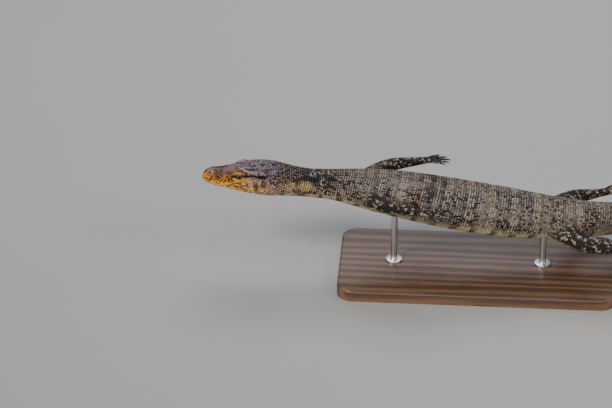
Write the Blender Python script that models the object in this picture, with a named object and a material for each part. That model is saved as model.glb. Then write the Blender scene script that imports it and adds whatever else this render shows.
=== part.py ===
# Water monitor lizard, swimming, as a still life-size model on a display stand.
# Metres, +Z up. The head points to -Y, the tail to +Y and the animal's left side to +X.
# The origin is the centre of the underside of the stand's base.
# Body sizes below are millimetres, measured along the spine from the tip of the snout.

import math

import bmesh
import bpy
import numpy as np
from mathutils import Matrix, Vector

MM = 0.001
GAP = 0.3 * MM                 # room that touching pieces keep

# Height of the spine line at the snout, and the spine point that stands over the base's centre
SNOUT_HEIGHT = 163.5 * MM
ANCHOR = 430

# Lengths along the spine where one piece ends and the next begins
HEAD_END = 118
NECK_END = 222
TORSO_END = 600
TAIL_ENDS = (745, 915, 1110, 1320, 1550)

# Direction of the spine going back from the snout, in degrees: turn towards +X, and slope down
SPINE_TURN = {0: 0, 100: -1, 130: -8, 178: -8, 205: -2, 240: 2, 290: 4, 340: 2, 440: -2, 560: -7,
              650: -18, 740: -22, 840: -8, 940: 18, 1050: 33, 1160: 26, 1270: 0, 1380: -24, 1550: -38}
SPINE_SLOPE = {0: 2, 95: 2, 124: 6.5, 150: 8, 178: 5, 210: 2.5, 262: 5, 300: 7, 340: 8.5, 400: 9.5,
               520: 9, 600: 6, 700: 3, 850: 1, 1000: 0, 1300: -1, 1550: -3}

# Cross-sections: half width, height above the spine line, depth below it
SNOUT_AND_HEAD = {0: (3.4, 3.4, 3.2), 1.5: (6.2, 6.4, 5.8), 5: (8.8, 9.9, 8.4),
                  14: (11.2, 13.9, 11.4), 28: (13.2, 15.0, 14.2), 41: (15.6, 17.9, 16.0),
                  52: (18.0, 23.2, 17.4), 61: (20.0, 25.9, 18.4), 72: (22.2, 26.9, 19.2),
                  84: (25.0, 27.7, 19.8), 95: (27.0, 28.1, 20.2), 106: (27.6, 27.7, 20.4),
                  118: (26.6, 26.3, 20.6)}
NECK_AND_TRUNK = {131: (25.2, 24.2, 20.8), 145: (24.2, 22.0, 21.0), 166: (23.6, 20.2, 21.4),
                  190: (24.6, 20.0, 22.8), 226: (31.5, 20.6, 27.0), 262: (39.5, 22.6, 31.5),
                  300: (43.0, 26.0, 34.5), 344: (45.0, 29.0, 36.5), 400: (46.5, 30.6, 37.0),
                  450: (46.0, 31.0, 37.0), 500: (42.5, 30.0, 34.5), 545: (36.0, 29.0, 31.0),
                  590: (29.0, 28.0, 28.0)}
TAIL = {630: (24.5, 27.0, 26.5), 700: (20.0, 25.5, 25.0), 800: (16.2, 23.5, 23.0),
        950: (12.2, 20.0, 19.5), 1100: (8.8, 16.0, 15.5), 1250: (6.0, 12.0, 11.5),
        1400: (3.6, 7.5, 7.2), 1500: (1.9, 4.0, 3.8), 1550: (0.7, 1.3, 1.2)}
SECTIONS = {**SNOUT_AND_HEAD, **NECK_AND_TRUNK, **TAIL}

WIDEST_HEAD = max(size[0] for size in SNOUT_AND_HEAD.values())

# Squareness of the sections above and below the spine line: 2 is an ellipse
SQUARENESS = {0: (2.3, 2.3), 14: (2.8, 3.0), 61: (3.0, 3.2), 101: (2.8, 2.9), 145: (2.3, 2.3),
              300: (2.25, 2.5), 440: (2.2, 2.6), 560: (2.1, 2.3), 650: (1.8, 2.0),
              800: (1.55, 1.8), 1550: (1.7, 1.8)}

# Forms of the head, on both sides alike: centre, reach and push, each as side, back and up
HEAD_FORMS = {
    "brow ridge": ((14.5, 58, 25.0), (5.0, 11, 4.5), (1.4, 2.4)),
    "hollow between the brows": ((0.0, 58, 26.0), (6.5, 15, 5.0), (0.0, -1.5)),
    "canthus": ((9.5, 33, 15.5), (4.0, 15, 4.0), (1.0, 0.9)),
    "cheek hollow before the eye": ((14.5, 39, 8.5), (5.0, 8, 5.0), (-1.5, 0.0)),
    "nasal swelling": ((8.8, 11.5, 9.5), (4.0, 6, 4.0), (0.9, 0.5)),
    "ridge over the temple": ((20.5, 81, 19.5), (4.5, 13, 3.4), (1.8, 1.0)),
    "hollow behind the eye": ((22.5, 73, 9.0), (5.0, 8, 4.0), (-0.9, 0.0)),
    "jaw muscle": ((26.0, 88, -5.0), (6.0, 12, 8.0), (1.6, 0.0)),
}

# Eye, lids, nostril and ear: places on the head as side, back and up
EYE_CENTRE = (10.8, 57.2, 12.7)
EYE_RADIUS = 7.0
LID_THICKNESS = 1.0
LID_STRETCH = 1.12
EYE_OPENING = (6.9, 2.8)        # half length and half height between the lids
NOSTRIL_CENTRE = (10.6, 11.6, 9.3)
NOSTRIL_RADII = (1.9, 1.5, 1.1)
EAR_CENTRE = (29.2, 95.5, 5.8)
EAR_RADII = (3.4, 3.4, 5.4)
EAR_TILT = 14

# The line of the mouth, as height over length, its corner, and the back of the lower jaw
MOUTH_LINE = {-6: 0.0, 12: -0.4, 30: 0.3, 48: -0.3, 64: -1.6, 80: -1.2}
MOUTH_CORNER = 80
JAW_FRONT = -8
JAW_UNDERSIDE = -38
JAW_BACK = ((86, -6.0), (94, -13.0), (100, -34.0))

# Limb joints as length along the spine, distance to the side and height over the spine line
LIMBS = {
    "arm_left": (1, ((246, 22, -1), (256, 34, 0), (294, 58, 5), (344, 66, 10), (365, 69, 12))),
    "arm_right": (-1, ((246, 22, -2), (256, 35, 0), (286, 67, 6), (334, 86, 12), (355, 94, 14))),
    "leg_left": (1, ((540, 16, -5), (552, 30, -6), (600, 68, -8), (656, 79, -10), (682, 82, -11))),
    "leg_right": (-1, ((540, 16, -5), (552, 31, -5), (594, 74, -6), (648, 93, -9), (673, 99, -10))),
}

# Half width and half height of a limb, at equal steps from its root to its wrist or ankle
ARM_GIRTH = ((13.5, 15.0), (14.5, 14.5), (10.5, 10.5), (6.8, 5.6))
LEG_GIRTH = ((19.0, 20.0), (19.5, 18.5), (13.0, 12.5), (8.0, 6.6))

# Hands and feet: palm length, width and thickness, then each digit's length, place across the
# palm (-1 to 1), and spread in degrees
HAND = {"palm": (17.0, 18.5, 7.6), "digit_radius": 2.7, "claw": (9.5, 1.8),
        "digits": ((11, -0.92, -24), (17, -0.52, -11), (20, -0.02, -1), (18, 0.5, 10), (12, 0.92, 26))}
FOOT = {"palm": (30.0, 22.0, 8.8), "digit_radius": 3.1, "claw": (10.5, 2.0),
        "digits": ((12, -0.90, -20), (20, -0.52, -9), (26, -0.04, -1), (30, 0.45, 7), (15, 0.95, 30))}
PALM_THINNING = 0.28            # thickness that the palm loses on the way to the digits
DIGIT_ROOT = (4.0, 3.0)         # how deep a digit starts in the palm, and the middle ones more
DIGIT_TAPER = 0.34
DIGIT_DROOP = 0.16              # how far a digit's end hangs, as a share of its length
KNUCKLE_SWELL = 0.10
CLAW_BEND = 48                  # degrees that a claw curves down by
CLAW_DROP = 0.42
CLAW_FLATNESS = 0.8             # a claw's width as a share of its height

# Stand: base length, width, thickness and corner radius, and its two rods
BASE_SIZE = (430 * MM, 190 * MM, 18 * MM)
BASE_CORNER = 26 * MM
BASE_EDGE = 3 * MM
ROD_RADIUS = 5 * MM
ROD_FOOT = (13 * MM, 3 * MM)
RODS = {"stand_rod_front": 298, "stand_rod_rear": 532}

# How finely the forms are divided: sides round a section and length of a step along the spine
HEAD_SIDES = 44
HEAD_STEP = 2.6
SNOUT_TIP = (0, 0.5, 1.5, 3, 5, 7.5)
SNOUT_END = 10                  # where the closer rings of the snout's tip end
TRUNK_SIDES = 30
TRUNK_STEP = 15
TAIL_SIDES = 20
TAIL_STEP = 19
LIMB_SIDES = 14
LIMB_STEPS = 6
DIGIT_SIDES = 8
CLAW_SIDES = 7
CLAW_RINGS = 4
ROD_SIDES = 20

FINISHES = {
    "head": ((0.16, 0.13, 0.13), 0.45, 0.0),
    "jaw": ((0.62, 0.42, 0.16), 0.5, 0.0),
    "body": ((0.20, 0.17, 0.14), 0.5, 0.0),
    "limb": ((0.12, 0.11, 0.10), 0.5, 0.0),
    "eye": ((0.03, 0.02, 0.015), 0.08, 0.0),
    "claw": ((0.05, 0.045, 0.04), 0.3, 0.0),
    "wood": ((0.16, 0.09, 0.05), 0.4, 0.0),
    "steel": ((0.55, 0.55, 0.56), 0.25, 1.0),
}


def slopes(places, values):
    # Slopes of a smooth curve through the points that never overshoots them
    steps = np.diff(places)
    rises = np.diff(values, axis=0) / steps[:, None]
    inner = np.zeros_like(values)
    same = rises[:-1] * rises[1:] > 0
    mean = 2 * rises[:-1] * rises[1:] / np.where(same, rises[:-1] + rises[1:], 1)
    inner[1:-1] = np.where(same, mean, 0)
    inner[0] = rises[0]
    inner[-1] = rises[-1]
    return inner


def smooth(table, at):
    # Values of a table between its places, along a smooth curve
    places = np.array(sorted(table), dtype=float)
    values = np.array([np.atleast_1d(table[place]) for place in sorted(table)], dtype=float)
    at = np.clip(np.atleast_1d(np.array(at, dtype=float)), places[0], places[-1])
    left = np.clip(np.searchsorted(places, at, side="right") - 1, 0, len(places) - 2)
    width = places[left + 1] - places[left]
    t = ((at - places[left]) / width)[:, None]
    slope = slopes(places, values)
    first, second = values[left], values[left + 1]
    first_slope = slope[left] * width[:, None]
    second_slope = slope[left + 1] * width[:, None]
    return ((2 * t ** 3 - 3 * t ** 2 + 1) * first + (t ** 3 - 2 * t ** 2 + t) * first_slope
            + (3 * t ** 2 - 2 * t ** 3) * second + (t ** 3 - t ** 2) * second_slope)


def spine_path():
    # Points and directions of the spine line at each millimetre of its length
    lengths = np.arange(TAIL_ENDS[-1] + 1, dtype=float)
    turn = np.radians(smooth(SPINE_TURN, lengths)[:, 0])
    slope = np.radians(smooth(SPINE_SLOPE, lengths)[:, 0])
    ahead = np.stack([np.sin(turn) * np.cos(slope), np.cos(turn) * np.cos(slope), -np.sin(slope)], 1)
    middle = (ahead[1:] + ahead[:-1]) / 2
    points = np.vstack([np.zeros(3), np.cumsum(middle, axis=0)]) * MM
    points[:, :2] -= points[ANCHOR, :2]
    points[:, 2] += SNOUT_HEIGHT
    return lengths, points, ahead


LENGTHS, SPINE, AHEAD = spine_path()


def frame_at(length):
    # Matrix whose axes are the side, back and up directions at a place on the spine
    point = [np.interp(length, LENGTHS, SPINE[:, axis]) for axis in range(3)]
    back = Vector([np.interp(length, LENGTHS, AHEAD[:, axis]) for axis in range(3)]).normalized()
    side = back.cross(Vector((0, 0, 1))).normalized()
    up = side.cross(back)
    matrix = Matrix((side, back, up)).transposed().to_4x4()
    matrix.translation = Vector(point)
    return matrix


def place(length, side, up):
    # Point beside the spine, from millimetres
    return frame_at(length) @ Vector((side * MM, 0, up * MM))


def power(value, squareness):
    return np.sign(value) * np.abs(value) ** (2 / squareness)


def section(length, sides, grow=0.0):
    # Side and up coordinates of the body's outline at a place on the spine, in millimetres
    half_width, up, down = smooth(SECTIONS, length)[0] + grow
    top, bottom = smooth(SQUARENESS, length)[0]
    angle = np.arange(sides) * 2 * math.pi / sides
    squareness = np.where(np.cos(angle) >= 0, top, bottom)
    height = np.where(np.cos(angle) >= 0, up, down)
    across = half_width * power(np.sin(angle), squareness)
    return across, height * power(np.cos(angle), squareness)


def head_relief(across, length, up):
    # Brows, cheeks and jaw muscles pushed out of or into the plain section of the head
    sign = np.sign(across)
    across = np.abs(across)
    for centre, reach, push in HEAD_FORMS.values():
        distance = (((across - centre[0]) / reach[0]) ** 2 + ((length - centre[1]) / reach[1]) ** 2
                    + ((up - centre[2]) / reach[2]) ** 2)
        weight = np.exp(-distance)
        across = across + weight * push[0]
        up = up + weight * push[1]
    eye_side, eye_back, eye_up = EYE_CENTRE
    distance = np.sqrt((across - eye_side) ** 2 + ((length - eye_back) / LID_STRETCH) ** 2
                       + (up - eye_up) ** 2)
    spread = np.maximum((EYE_RADIUS + LID_THICKNESS) / np.maximum(distance, 1), 1)
    across = eye_side + (across - eye_side) * spread
    up = eye_up + (up - eye_up) * spread
    return sign * across, up


def body_ring(length, sides, grow=0.0):
    across, up = section(length, sides, grow)
    if length < HEAD_END:
        across, up = head_relief(across, length, up)
    matrix = frame_at(length)
    return [matrix @ Vector((x * MM, 0, z * MM)) for x, z in zip(across, up)]


def finish(name, look):
    colour, roughness, metallic = FINISHES[look]
    material = bpy.data.materials.new(name)
    material.use_nodes = True
    shader = material.node_tree.nodes["Principled BSDF"]
    shader.inputs["Base Color"].default_value = (*colour, 1)
    shader.inputs["Roughness"].default_value = roughness
    shader.inputs["Metallic"].default_value = metallic
    return material


def add_object(name, mesh):
    thing = bpy.data.objects.new(name, mesh)
    bpy.context.scene.collection.objects.link(thing)
    return thing


def loft(name, rings):
    # Closed body through a row of rings, with a flat cap at both ends
    shape = bmesh.new()
    rows = [[shape.verts.new(point) for point in ring] for ring in rings]
    sides = len(rows[0])
    for first, second in zip(rows, rows[1:]):
        for k in range(sides):
            shape.faces.new((first[k], first[(k + 1) % sides], second[(k + 1) % sides], second[k]))
    shape.faces.new(rows[0])
    shape.faces.new(rows[-1])
    bmesh.ops.recalc_face_normals(shape, faces=shape.faces)
    mesh = bpy.data.meshes.new(name)
    shape.to_mesh(mesh)
    shape.free()
    return add_object(name, mesh)


def keep_largest(mesh):
    # Only the largest closed surface of a mesh stays
    shape = bmesh.new()
    shape.from_mesh(mesh)
    bmesh.ops.remove_doubles(shape, verts=shape.verts, dist=0.002 * MM)
    bmesh.ops.dissolve_degenerate(shape, edges=shape.edges, dist=0.001 * MM)
    left = set(shape.verts)
    groups = []
    while left:
        front = [left.pop()]
        group = set(front)
        while front:
            vertex = front.pop()
            for edge in vertex.link_edges:
                other = edge.other_vert(vertex)
                if other in left:
                    left.remove(other)
                    group.add(other)
                    front.append(other)
        groups.append(group)
    groups.sort(key=len)
    for group in groups[:-1]:
        bmesh.ops.delete(shape, geom=list(group), context="VERTS")
    shape.to_mesh(mesh)
    shape.free()


def combine(target, tools, operation):
    # Join the tools to the target, or cut them from it, and remove them
    group = bpy.data.collections.new("tools")
    bpy.context.scene.collection.children.link(group)
    for tool in tools:
        group.objects.link(tool)
    modifier = target.modifiers.new(operation, "BOOLEAN")
    modifier.operand_type = "COLLECTION"
    modifier.collection = group
    modifier.operation = operation
    modifier.solver = "EXACT"
    graph = bpy.context.evaluated_depsgraph_get()
    mesh = bpy.data.meshes.new_from_object(target.evaluated_get(graph))
    target.modifiers.clear()
    target.data = mesh
    for tool in tools:
        bpy.data.objects.remove(tool)
    bpy.data.collections.remove(group)
    keep_largest(mesh)


def done(thing, look):
    # Name, finish and smooth shading of a node
    thing.data.name = thing.name
    thing.data.materials.clear()
    thing.data.materials.append(finish(thing.name, look))
    thing.data.shade_smooth()
    thing.data.set_sharp_from_angle(angle=math.radians(40))
    return thing


def ellipsoid(name, matrix, radii, segments=16, rings=10):
    shape = bmesh.new()
    bmesh.ops.create_uvsphere(shape, u_segments=segments, v_segments=rings, radius=1)
    bmesh.ops.scale(shape, vec=Vector(radii) * MM, verts=shape.verts)
    bmesh.ops.transform(shape, matrix=matrix, verts=shape.verts)
    mesh = bpy.data.meshes.new(name)
    shape.to_mesh(mesh)
    shape.free()
    return add_object(name, mesh)


def head_point(spot, sign):
    # Matrix at a point of the head given as side, back and up
    x, y, z = spot
    return frame_at(y) @ Matrix.Translation((sign * x * MM, 0, z * MM))


def prism(name, outline, thickness, matrix):
    # Solid of a flat outline in back and up coordinates, as thick to both sides
    shape = bmesh.new()
    face = shape.faces.new([shape.verts.new((-thickness, y, z)) for y, z in outline])
    moved = bmesh.ops.extrude_face_region(shape, geom=[face])["geom"]
    bmesh.ops.translate(shape, vec=(2 * thickness, 0, 0),
                        verts=[item for item in moved if isinstance(item, bmesh.types.BMVert)])
    bmesh.ops.recalc_face_normals(shape, faces=shape.faces)
    bmesh.ops.transform(shape, matrix=matrix, verts=shape.verts)
    mesh = bpy.data.meshes.new(name)
    shape.to_mesh(mesh)
    shape.free()
    return add_object(name, mesh)


def jaw_zone(grow):
    # Everything below the line of the mouth and in front of the back of the jaw
    lengths = np.linspace(min(MOUTH_LINE), MOUTH_CORNER, 31)
    line = [(y, z + grow) for y, z in zip(lengths, smooth(MOUTH_LINE, lengths)[:, 0])]
    back = [(y + grow, z) for y, z in JAW_BACK]
    outline = [(JAW_FRONT, line[0][1])] + line + back + [(JAW_FRONT, JAW_UNDERSIDE)]
    points = [(y * MM, z * MM) for y, z in outline]
    return prism("jaw zone", points, 1.5 * WIDEST_HEAD * MM, frame_at(0))


def head_loft(name):
    along = np.linspace(SNOUT_END, HEAD_END, round((HEAD_END - SNOUT_END) / HEAD_STEP) + 1)
    lengths = np.concatenate([SNOUT_TIP, along])
    return loft(name, [body_ring(length, HEAD_SIDES) for length in lengths])


def eye_opening(sign):
    # Almond between the lids, cut from outside down to the eyeball
    half_length, half_height = EYE_OPENING
    turns = np.linspace(-1, 1, 9)
    top = [(t * half_length * MM, half_height * (1 - t * t) * MM) for t in turns]
    bottom = [(y, -z) for y, z in reversed(top[1:-1])]
    outwards = sign * 1.4 * EYE_RADIUS * MM
    matrix = head_point(EYE_CENTRE, sign) @ Matrix.Translation((outwards, 0, 0))
    return prism("lid opening", top + bottom, EYE_RADIUS * MM, matrix)


def make_head():
    head = head_loft("head")
    jaw = head_loft("lower_jaw")
    combine(jaw, [jaw_zone(0)], "INTERSECT")
    cutters = [jaw_zone(GAP / MM)]
    for sign in (1, -1):
        eye = head_point(EYE_CENTRE, sign)
        socket = EYE_RADIUS + GAP / MM
        cutters.append(ellipsoid("socket", eye, (socket, socket, socket), 20, 12))
        cutters.append(eye_opening(sign))
        cutters.append(ellipsoid("nostril", head_point(NOSTRIL_CENTRE, sign), NOSTRIL_RADII, 8, 6))
        tilt = Matrix.Rotation(math.radians(EAR_TILT), 4, "X")
        cutters.append(ellipsoid("ear", head_point(EAR_CENTRE, sign) @ tilt, EAR_RADII, 12, 8))
    combine(head, cutters, "DIFFERENCE")
    done(head, "head")
    done(jaw, "jaw")
    for side_name, sign in (("left", 1), ("right", -1)):
        radii = (EYE_RADIUS, EYE_RADIUS, EYE_RADIUS)
        done(ellipsoid("eye_" + side_name, head_point(EYE_CENTRE, sign), radii, 20, 12), "eye")


def make_length(name, start, end, sides, step, look):
    # One length of the body, short of the next by the gap
    count = max(2, round((end - start) / step) + 1)
    lengths = np.linspace(start + GAP / MM / 2, end - GAP / MM / 2, count)
    return done(loft(name, [body_ring(length, sides) for length in lengths]), look)


def make_body():
    make_length("neck", HEAD_END + GAP / MM / 2, NECK_END, TRUNK_SIDES, TRUNK_STEP * 0.8, "body")
    make_length("torso", NECK_END, TORSO_END, TRUNK_SIDES, TRUNK_STEP, "body")
    start = TORSO_END
    for number, end in enumerate(TAIL_ENDS, start=1):
        make_length(f"tail_{number}", start, end, TAIL_SIDES, TAIL_STEP, "body")
        start = end


def torso_mould():
    # The torso with the gap round it, to cut what meets it
    lengths = np.linspace(NECK_END, TORSO_END, round((TORSO_END - NECK_END) / TRUNK_STEP) + 1)
    return loft("torso mould", [body_ring(length, TRUNK_SIDES, 1.2 * GAP / MM) for length in lengths])


def curve_through(points, count):
    # Smooth curve through points, with its directions, at equal steps
    points = [np.array(point) for point in points]
    knots = np.cumsum([0] + [np.linalg.norm(b - a) for a, b in zip(points, points[1:])])
    table = {knot: point for knot, point in zip(knots, points)}
    at = np.linspace(0, knots[-1], count)
    path = smooth(table, at)
    ahead = np.gradient(path, axis=0)
    return path, ahead / np.linalg.norm(ahead, axis=1)[:, None], at, knots


def ring_round(point, ahead, half_width, half_height, sides):
    # Oval ring square to a direction, level with the ground
    ahead = Vector(ahead).normalized()
    side = ahead.cross(Vector((0, 0, 1))).normalized()
    up = side.cross(ahead)
    turns = [2 * math.pi * k / sides for k in range(sides)]
    return [Vector(point) + side * (half_width * math.sin(turn)) + up * (half_height * math.cos(turn))
            for turn in turns]


def limb_rings(path, ahead, at, start, end, girth_table, sides, steps):
    # Rings of one segment of a limb, square to its curve
    rings = []
    for where in np.linspace(start, end, steps + 1):
        point = [np.interp(where, at, path[:, axis]) for axis in range(3)]
        direction = [np.interp(where, at, ahead[:, axis]) for axis in range(3)]
        half_width, half_height = smooth(girth_table, where)[0] * MM
        rings.append(ring_round(point, direction, half_width, half_height, sides))
    return rings


def make_claw(name, tip_frame, sizes):
    # Curved cone that starts just clear of the digit's end
    length, radius = sizes
    full_bend = math.radians(CLAW_BEND)
    rings = []
    for k in range(CLAW_RINGS):
        t = k / (CLAW_RINGS - 0.6)
        bend = full_bend * t
        centre = Vector((0, length * math.sin(bend) / full_bend, -length * t * t * CLAW_DROP)) * MM
        size = radius * (1 - t) ** 0.75 * MM
        turned = Matrix.Rotation(-bend, 4, "X")
        ring = [centre + turned @ Vector((size * CLAW_FLATNESS * math.sin(turn), 0, size * math.cos(turn)))
                for turn in [2 * math.pi * n / CLAW_SIDES for n in range(CLAW_SIDES)]]
        rings.append([tip_frame @ point for point in ring])
    done(loft(name, rings), "claw")


def make_hand(name, wrist, wrist_size, plan, mirror):
    # Palm and digits joined into one body, with a claw beyond each digit
    palm_length, palm_width, thickness = plan["palm"]
    radius = plan["digit_radius"]
    palm_rings = []
    for t in np.linspace(0, 1, 5):
        spread = t * t * (3 - 2 * t)
        half_width = wrist_size[0] + (palm_width / 2 - wrist_size[0]) * spread
        flat = thickness / 2 * (1 - PALM_THINNING * t)
        half_height = wrist_size[1] + (flat - wrist_size[1]) * math.sin(t * math.pi / 2)
        centre = wrist @ Vector((0, t * palm_length * MM, 0))
        direction = wrist.to_3x3() @ Vector((0, 1, 0))
        palm_rings.append(ring_round(centre, direction, half_width * MM, half_height * MM, LIMB_SIDES))
    hand = loft(name, palm_rings)
    digits = []
    for number, (length, across, spread) in enumerate(plan["digits"], start=1):
        root_back = DIGIT_ROOT[0] + DIGIT_ROOT[1] * (1 - abs(across))
        root = Matrix.Translation(Vector((mirror * across * (palm_width / 2 - radius),
                                          palm_length - root_back - 2.5 * abs(across), 0)) * MM)
        aim = wrist @ root @ Matrix.Rotation(-math.radians(spread) * mirror, 4, "Z")
        rings = []
        total = length + root_back
        for t in np.linspace(0, 1, 6):
            droop = -DIGIT_DROOP * length * t * t
            knuckle = 1 + KNUCKLE_SWELL * math.cos(t * 4 * math.pi)
            size = radius * (1 - DIGIT_TAPER * t) * knuckle * MM
            ring = []
            for k in range(DIGIT_SIDES):
                turn = 2 * math.pi * k / DIGIT_SIDES
                ring.append(aim @ (Vector((0, t * total, droop)) * MM
                                   + Vector((size * math.sin(turn), 0, size * math.cos(turn)))))
            rings.append(ring)
        digits.append(loft("digit", rings))
        tip = aim @ Matrix.Translation(Vector((0, total + GAP / MM, -DIGIT_DROOP * length)) * MM)
        make_claw(f"claw_{name}_{number}", tip, plan["claw"])
    combine(hand, digits, "UNION")
    done(hand, "limb")


def make_limb(name, side, joints, girths, plan, hand_name):
    points = [place(length, side * across, up) for length, across, up in joints]
    path, ahead, at, knots = curve_through(points, 60)
    root, _, bend, wrist, _ = knots
    girth_table = dict(zip(knots, girths))
    half = GAP / 2
    upper = loft(f"{name}_upper", limb_rings(path, ahead, at, root, bend - half, girth_table,
                                             LIMB_SIDES, LIMB_STEPS))
    combine(upper, [torso_mould()], "DIFFERENCE")
    done(upper, "limb")
    lower_rings = limb_rings(path, ahead, at, bend + half, wrist - half, girth_table,
                             LIMB_SIDES, LIMB_STEPS)
    done(loft(f"{name}_lower", lower_rings), "limb")
    point = Vector([np.interp(wrist + half, at, path[:, axis]) for axis in range(3)])
    forward = Vector([np.interp(wrist + half, at, ahead[:, axis]) for axis in range(3)]).normalized()
    across = forward.cross(Vector((0, 0, 1))).normalized()
    matrix = Matrix((across, forward, across.cross(forward))).transposed().to_4x4()
    matrix.translation = point
    make_hand(hand_name, matrix, girths[-1], plan, side)


def make_limbs():
    for name, (side, joints) in LIMBS.items():
        is_arm = name.startswith("arm")
        side_name = name.split("_")[1]
        make_limb(name, side, joints, ARM_GIRTH if is_arm else LEG_GIRTH,
                  HAND if is_arm else FOOT, ("hand_" if is_arm else "foot_") + side_name)


def make_stand():
    length, width, thickness = BASE_SIZE
    shape = bmesh.new()
    outline = []
    for cx, cy, start in ((1, 1, 0), (-1, 1, 90), (-1, -1, 180), (1, -1, 270)):
        for step in range(7):
            turn = math.radians(start + step * 15)
            outline.append(((cx * (width / 2 - BASE_CORNER) + BASE_CORNER * math.cos(turn)),
                            (cy * (length / 2 - BASE_CORNER) + BASE_CORNER * math.sin(turn)), 0))
    face = shape.faces.new([shape.verts.new(point) for point in outline])
    moved = bmesh.ops.extrude_face_region(shape, geom=[face])["geom"]
    top = [item for item in moved if isinstance(item, bmesh.types.BMVert)]
    bmesh.ops.translate(shape, vec=(0, 0, thickness), verts=top)
    rim = [edge for edge in shape.edges if all(vertex in top for vertex in edge.verts)]
    bmesh.ops.bevel(shape, geom=rim, offset=BASE_EDGE, segments=2, affect="EDGES", profile=0.5)
    bmesh.ops.recalc_face_normals(shape, faces=shape.faces)
    mesh = bpy.data.meshes.new("stand_base")
    shape.to_mesh(mesh)
    shape.free()
    done(add_object("stand_base", mesh), "wood")
    foot_radius, foot_height = ROD_FOOT
    for name, length_at in RODS.items():
        centre = frame_at(length_at).translation
        bottom = thickness + GAP
        profile = ((bottom, foot_radius), (bottom + foot_height * 0.7, foot_radius),
                   (bottom + foot_height, foot_radius * 0.85), (bottom + foot_height, ROD_RADIUS),
                   (centre.z, ROD_RADIUS))
        turns = [2 * math.pi * k / ROD_SIDES for k in range(ROD_SIDES)]
        rings = []
        for height, radius in profile:
            rings.append([Vector((centre.x + radius * math.cos(turn), centre.y + radius * math.sin(turn), height))
                          for turn in turns])
        rod = loft(name, rings)
        combine(rod, [torso_mould()], "DIFFERENCE")
        done(rod, "steel")


def main():
    for thing in list(bpy.data.objects):
        bpy.data.objects.remove(thing)
    make_head()
    make_body()
    make_limbs()
    make_stand()


main()
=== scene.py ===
import math
from itertools import product
from types import SimpleNamespace
import bmesh
import bpy
import numpy as np
from mathutils import Matrix, Vector
from mathutils.bvhtree import BVHTree
from mathutils.kdtree import KDTree


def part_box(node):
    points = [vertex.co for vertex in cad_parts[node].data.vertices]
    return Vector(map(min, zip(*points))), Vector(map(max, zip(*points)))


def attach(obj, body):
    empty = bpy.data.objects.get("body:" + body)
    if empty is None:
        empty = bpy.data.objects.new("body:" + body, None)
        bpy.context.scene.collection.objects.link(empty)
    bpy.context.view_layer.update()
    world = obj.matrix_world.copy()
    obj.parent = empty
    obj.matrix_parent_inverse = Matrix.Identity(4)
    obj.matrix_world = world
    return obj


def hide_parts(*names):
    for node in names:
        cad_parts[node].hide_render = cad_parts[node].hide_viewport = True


# Water monitor swimming, as a still model on its stand. Metres, +Z up, head towards -Y, left side towards +X.
# Lengths named along run down the spine from the tip of the snout, in millimetres.

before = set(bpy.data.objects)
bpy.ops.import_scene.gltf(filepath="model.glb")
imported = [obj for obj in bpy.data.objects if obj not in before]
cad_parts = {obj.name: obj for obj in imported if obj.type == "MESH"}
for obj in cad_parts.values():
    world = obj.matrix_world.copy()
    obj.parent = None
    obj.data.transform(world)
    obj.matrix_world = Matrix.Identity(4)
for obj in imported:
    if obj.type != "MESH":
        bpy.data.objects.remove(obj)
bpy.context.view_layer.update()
print("stage: frame loaded")

body = {
    "snoutHeight": 0.1635,
    "anchor": 430,  # spine point over the middle of the stand
    "turn": {0: 0, 100: -1, 130: -8, 178: -8, 205: -2, 240: 2, 290: 4, 340: 2, 440: -2, 560: -7, 650: -18,
             740: -22, 840: -8, 940: 18, 1050: 33, 1160: 26, 1270: 0, 1380: -24, 1550: -38},
    "slope": {0: 2, 95: 2, 124: 6.5, 150: 8, 178: 5, 210: 2.5, 262: 5, 300: 7, 340: 8.5, 400: 9.5, 520: 9,
              600: 6, 700: 3, 850: 1, 1000: 0, 1300: -1, 1550: -3},
    # half width, height over the spine, depth under it
    "sections": {0: (3.4, 3.4, 3.2), 1.5: (6.2, 6.4, 5.8), 5: (8.8, 9.9, 8.4), 14: (11.2, 13.9, 11.4),
                 28: (13.2, 15, 14.2), 41: (15.6, 17.9, 16), 52: (18, 23.2, 17.4), 61: (20, 25.9, 18.4),
                 72: (22.2, 26.9, 19.2), 84: (25, 27.7, 19.8), 95: (27, 28.1, 20.2), 106: (27.6, 27.7, 20.4),
                 118: (26.6, 26.3, 20.6), 131: (25.2, 24.2, 20.8), 145: (24.2, 22, 21),
                 166: (23.6, 20.2, 21.4),
                 190: (24.6, 20, 22.8), 226: (31.5, 20.6, 27), 262: (39.5, 22.6, 31.5), 300: (43, 26, 34.5),
                 344: (45, 29, 36.5), 400: (46.5, 30.6, 37), 450: (46, 31, 37), 500: (42.5, 30, 34.5),
                 545: (36, 29, 31), 590: (29, 28, 28), 630: (24.5, 27, 26.5), 700: (20, 25.5, 25),
                 800: (16.2, 23.5, 23), 950: (12.2, 20, 19.5), 1100: (8.8, 16, 15.5), 1250: (6, 12, 11.5),
                 1400: (3.6, 7.5, 7.2), 1500: (1.9, 4, 3.8), 1550: (0.7, 1.3, 1.2)},
    # powers of the rounded section, over and under the spine
    "squareness": {0: (2.3, 2.3), 14: (2.8, 3), 61: (3, 3.2), 101: (2.8, 2.9), 145: (2.3, 2.3),
                   300: (2.25, 2.5), 440: (2.2, 2.6), 560: (2.1, 2.3), 650: (1.8, 2), 800: (1.55, 1.8),
                   1550: (1.7, 1.8)},
    "headEnd": 118, "tailEnd": 1550,
}
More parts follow.
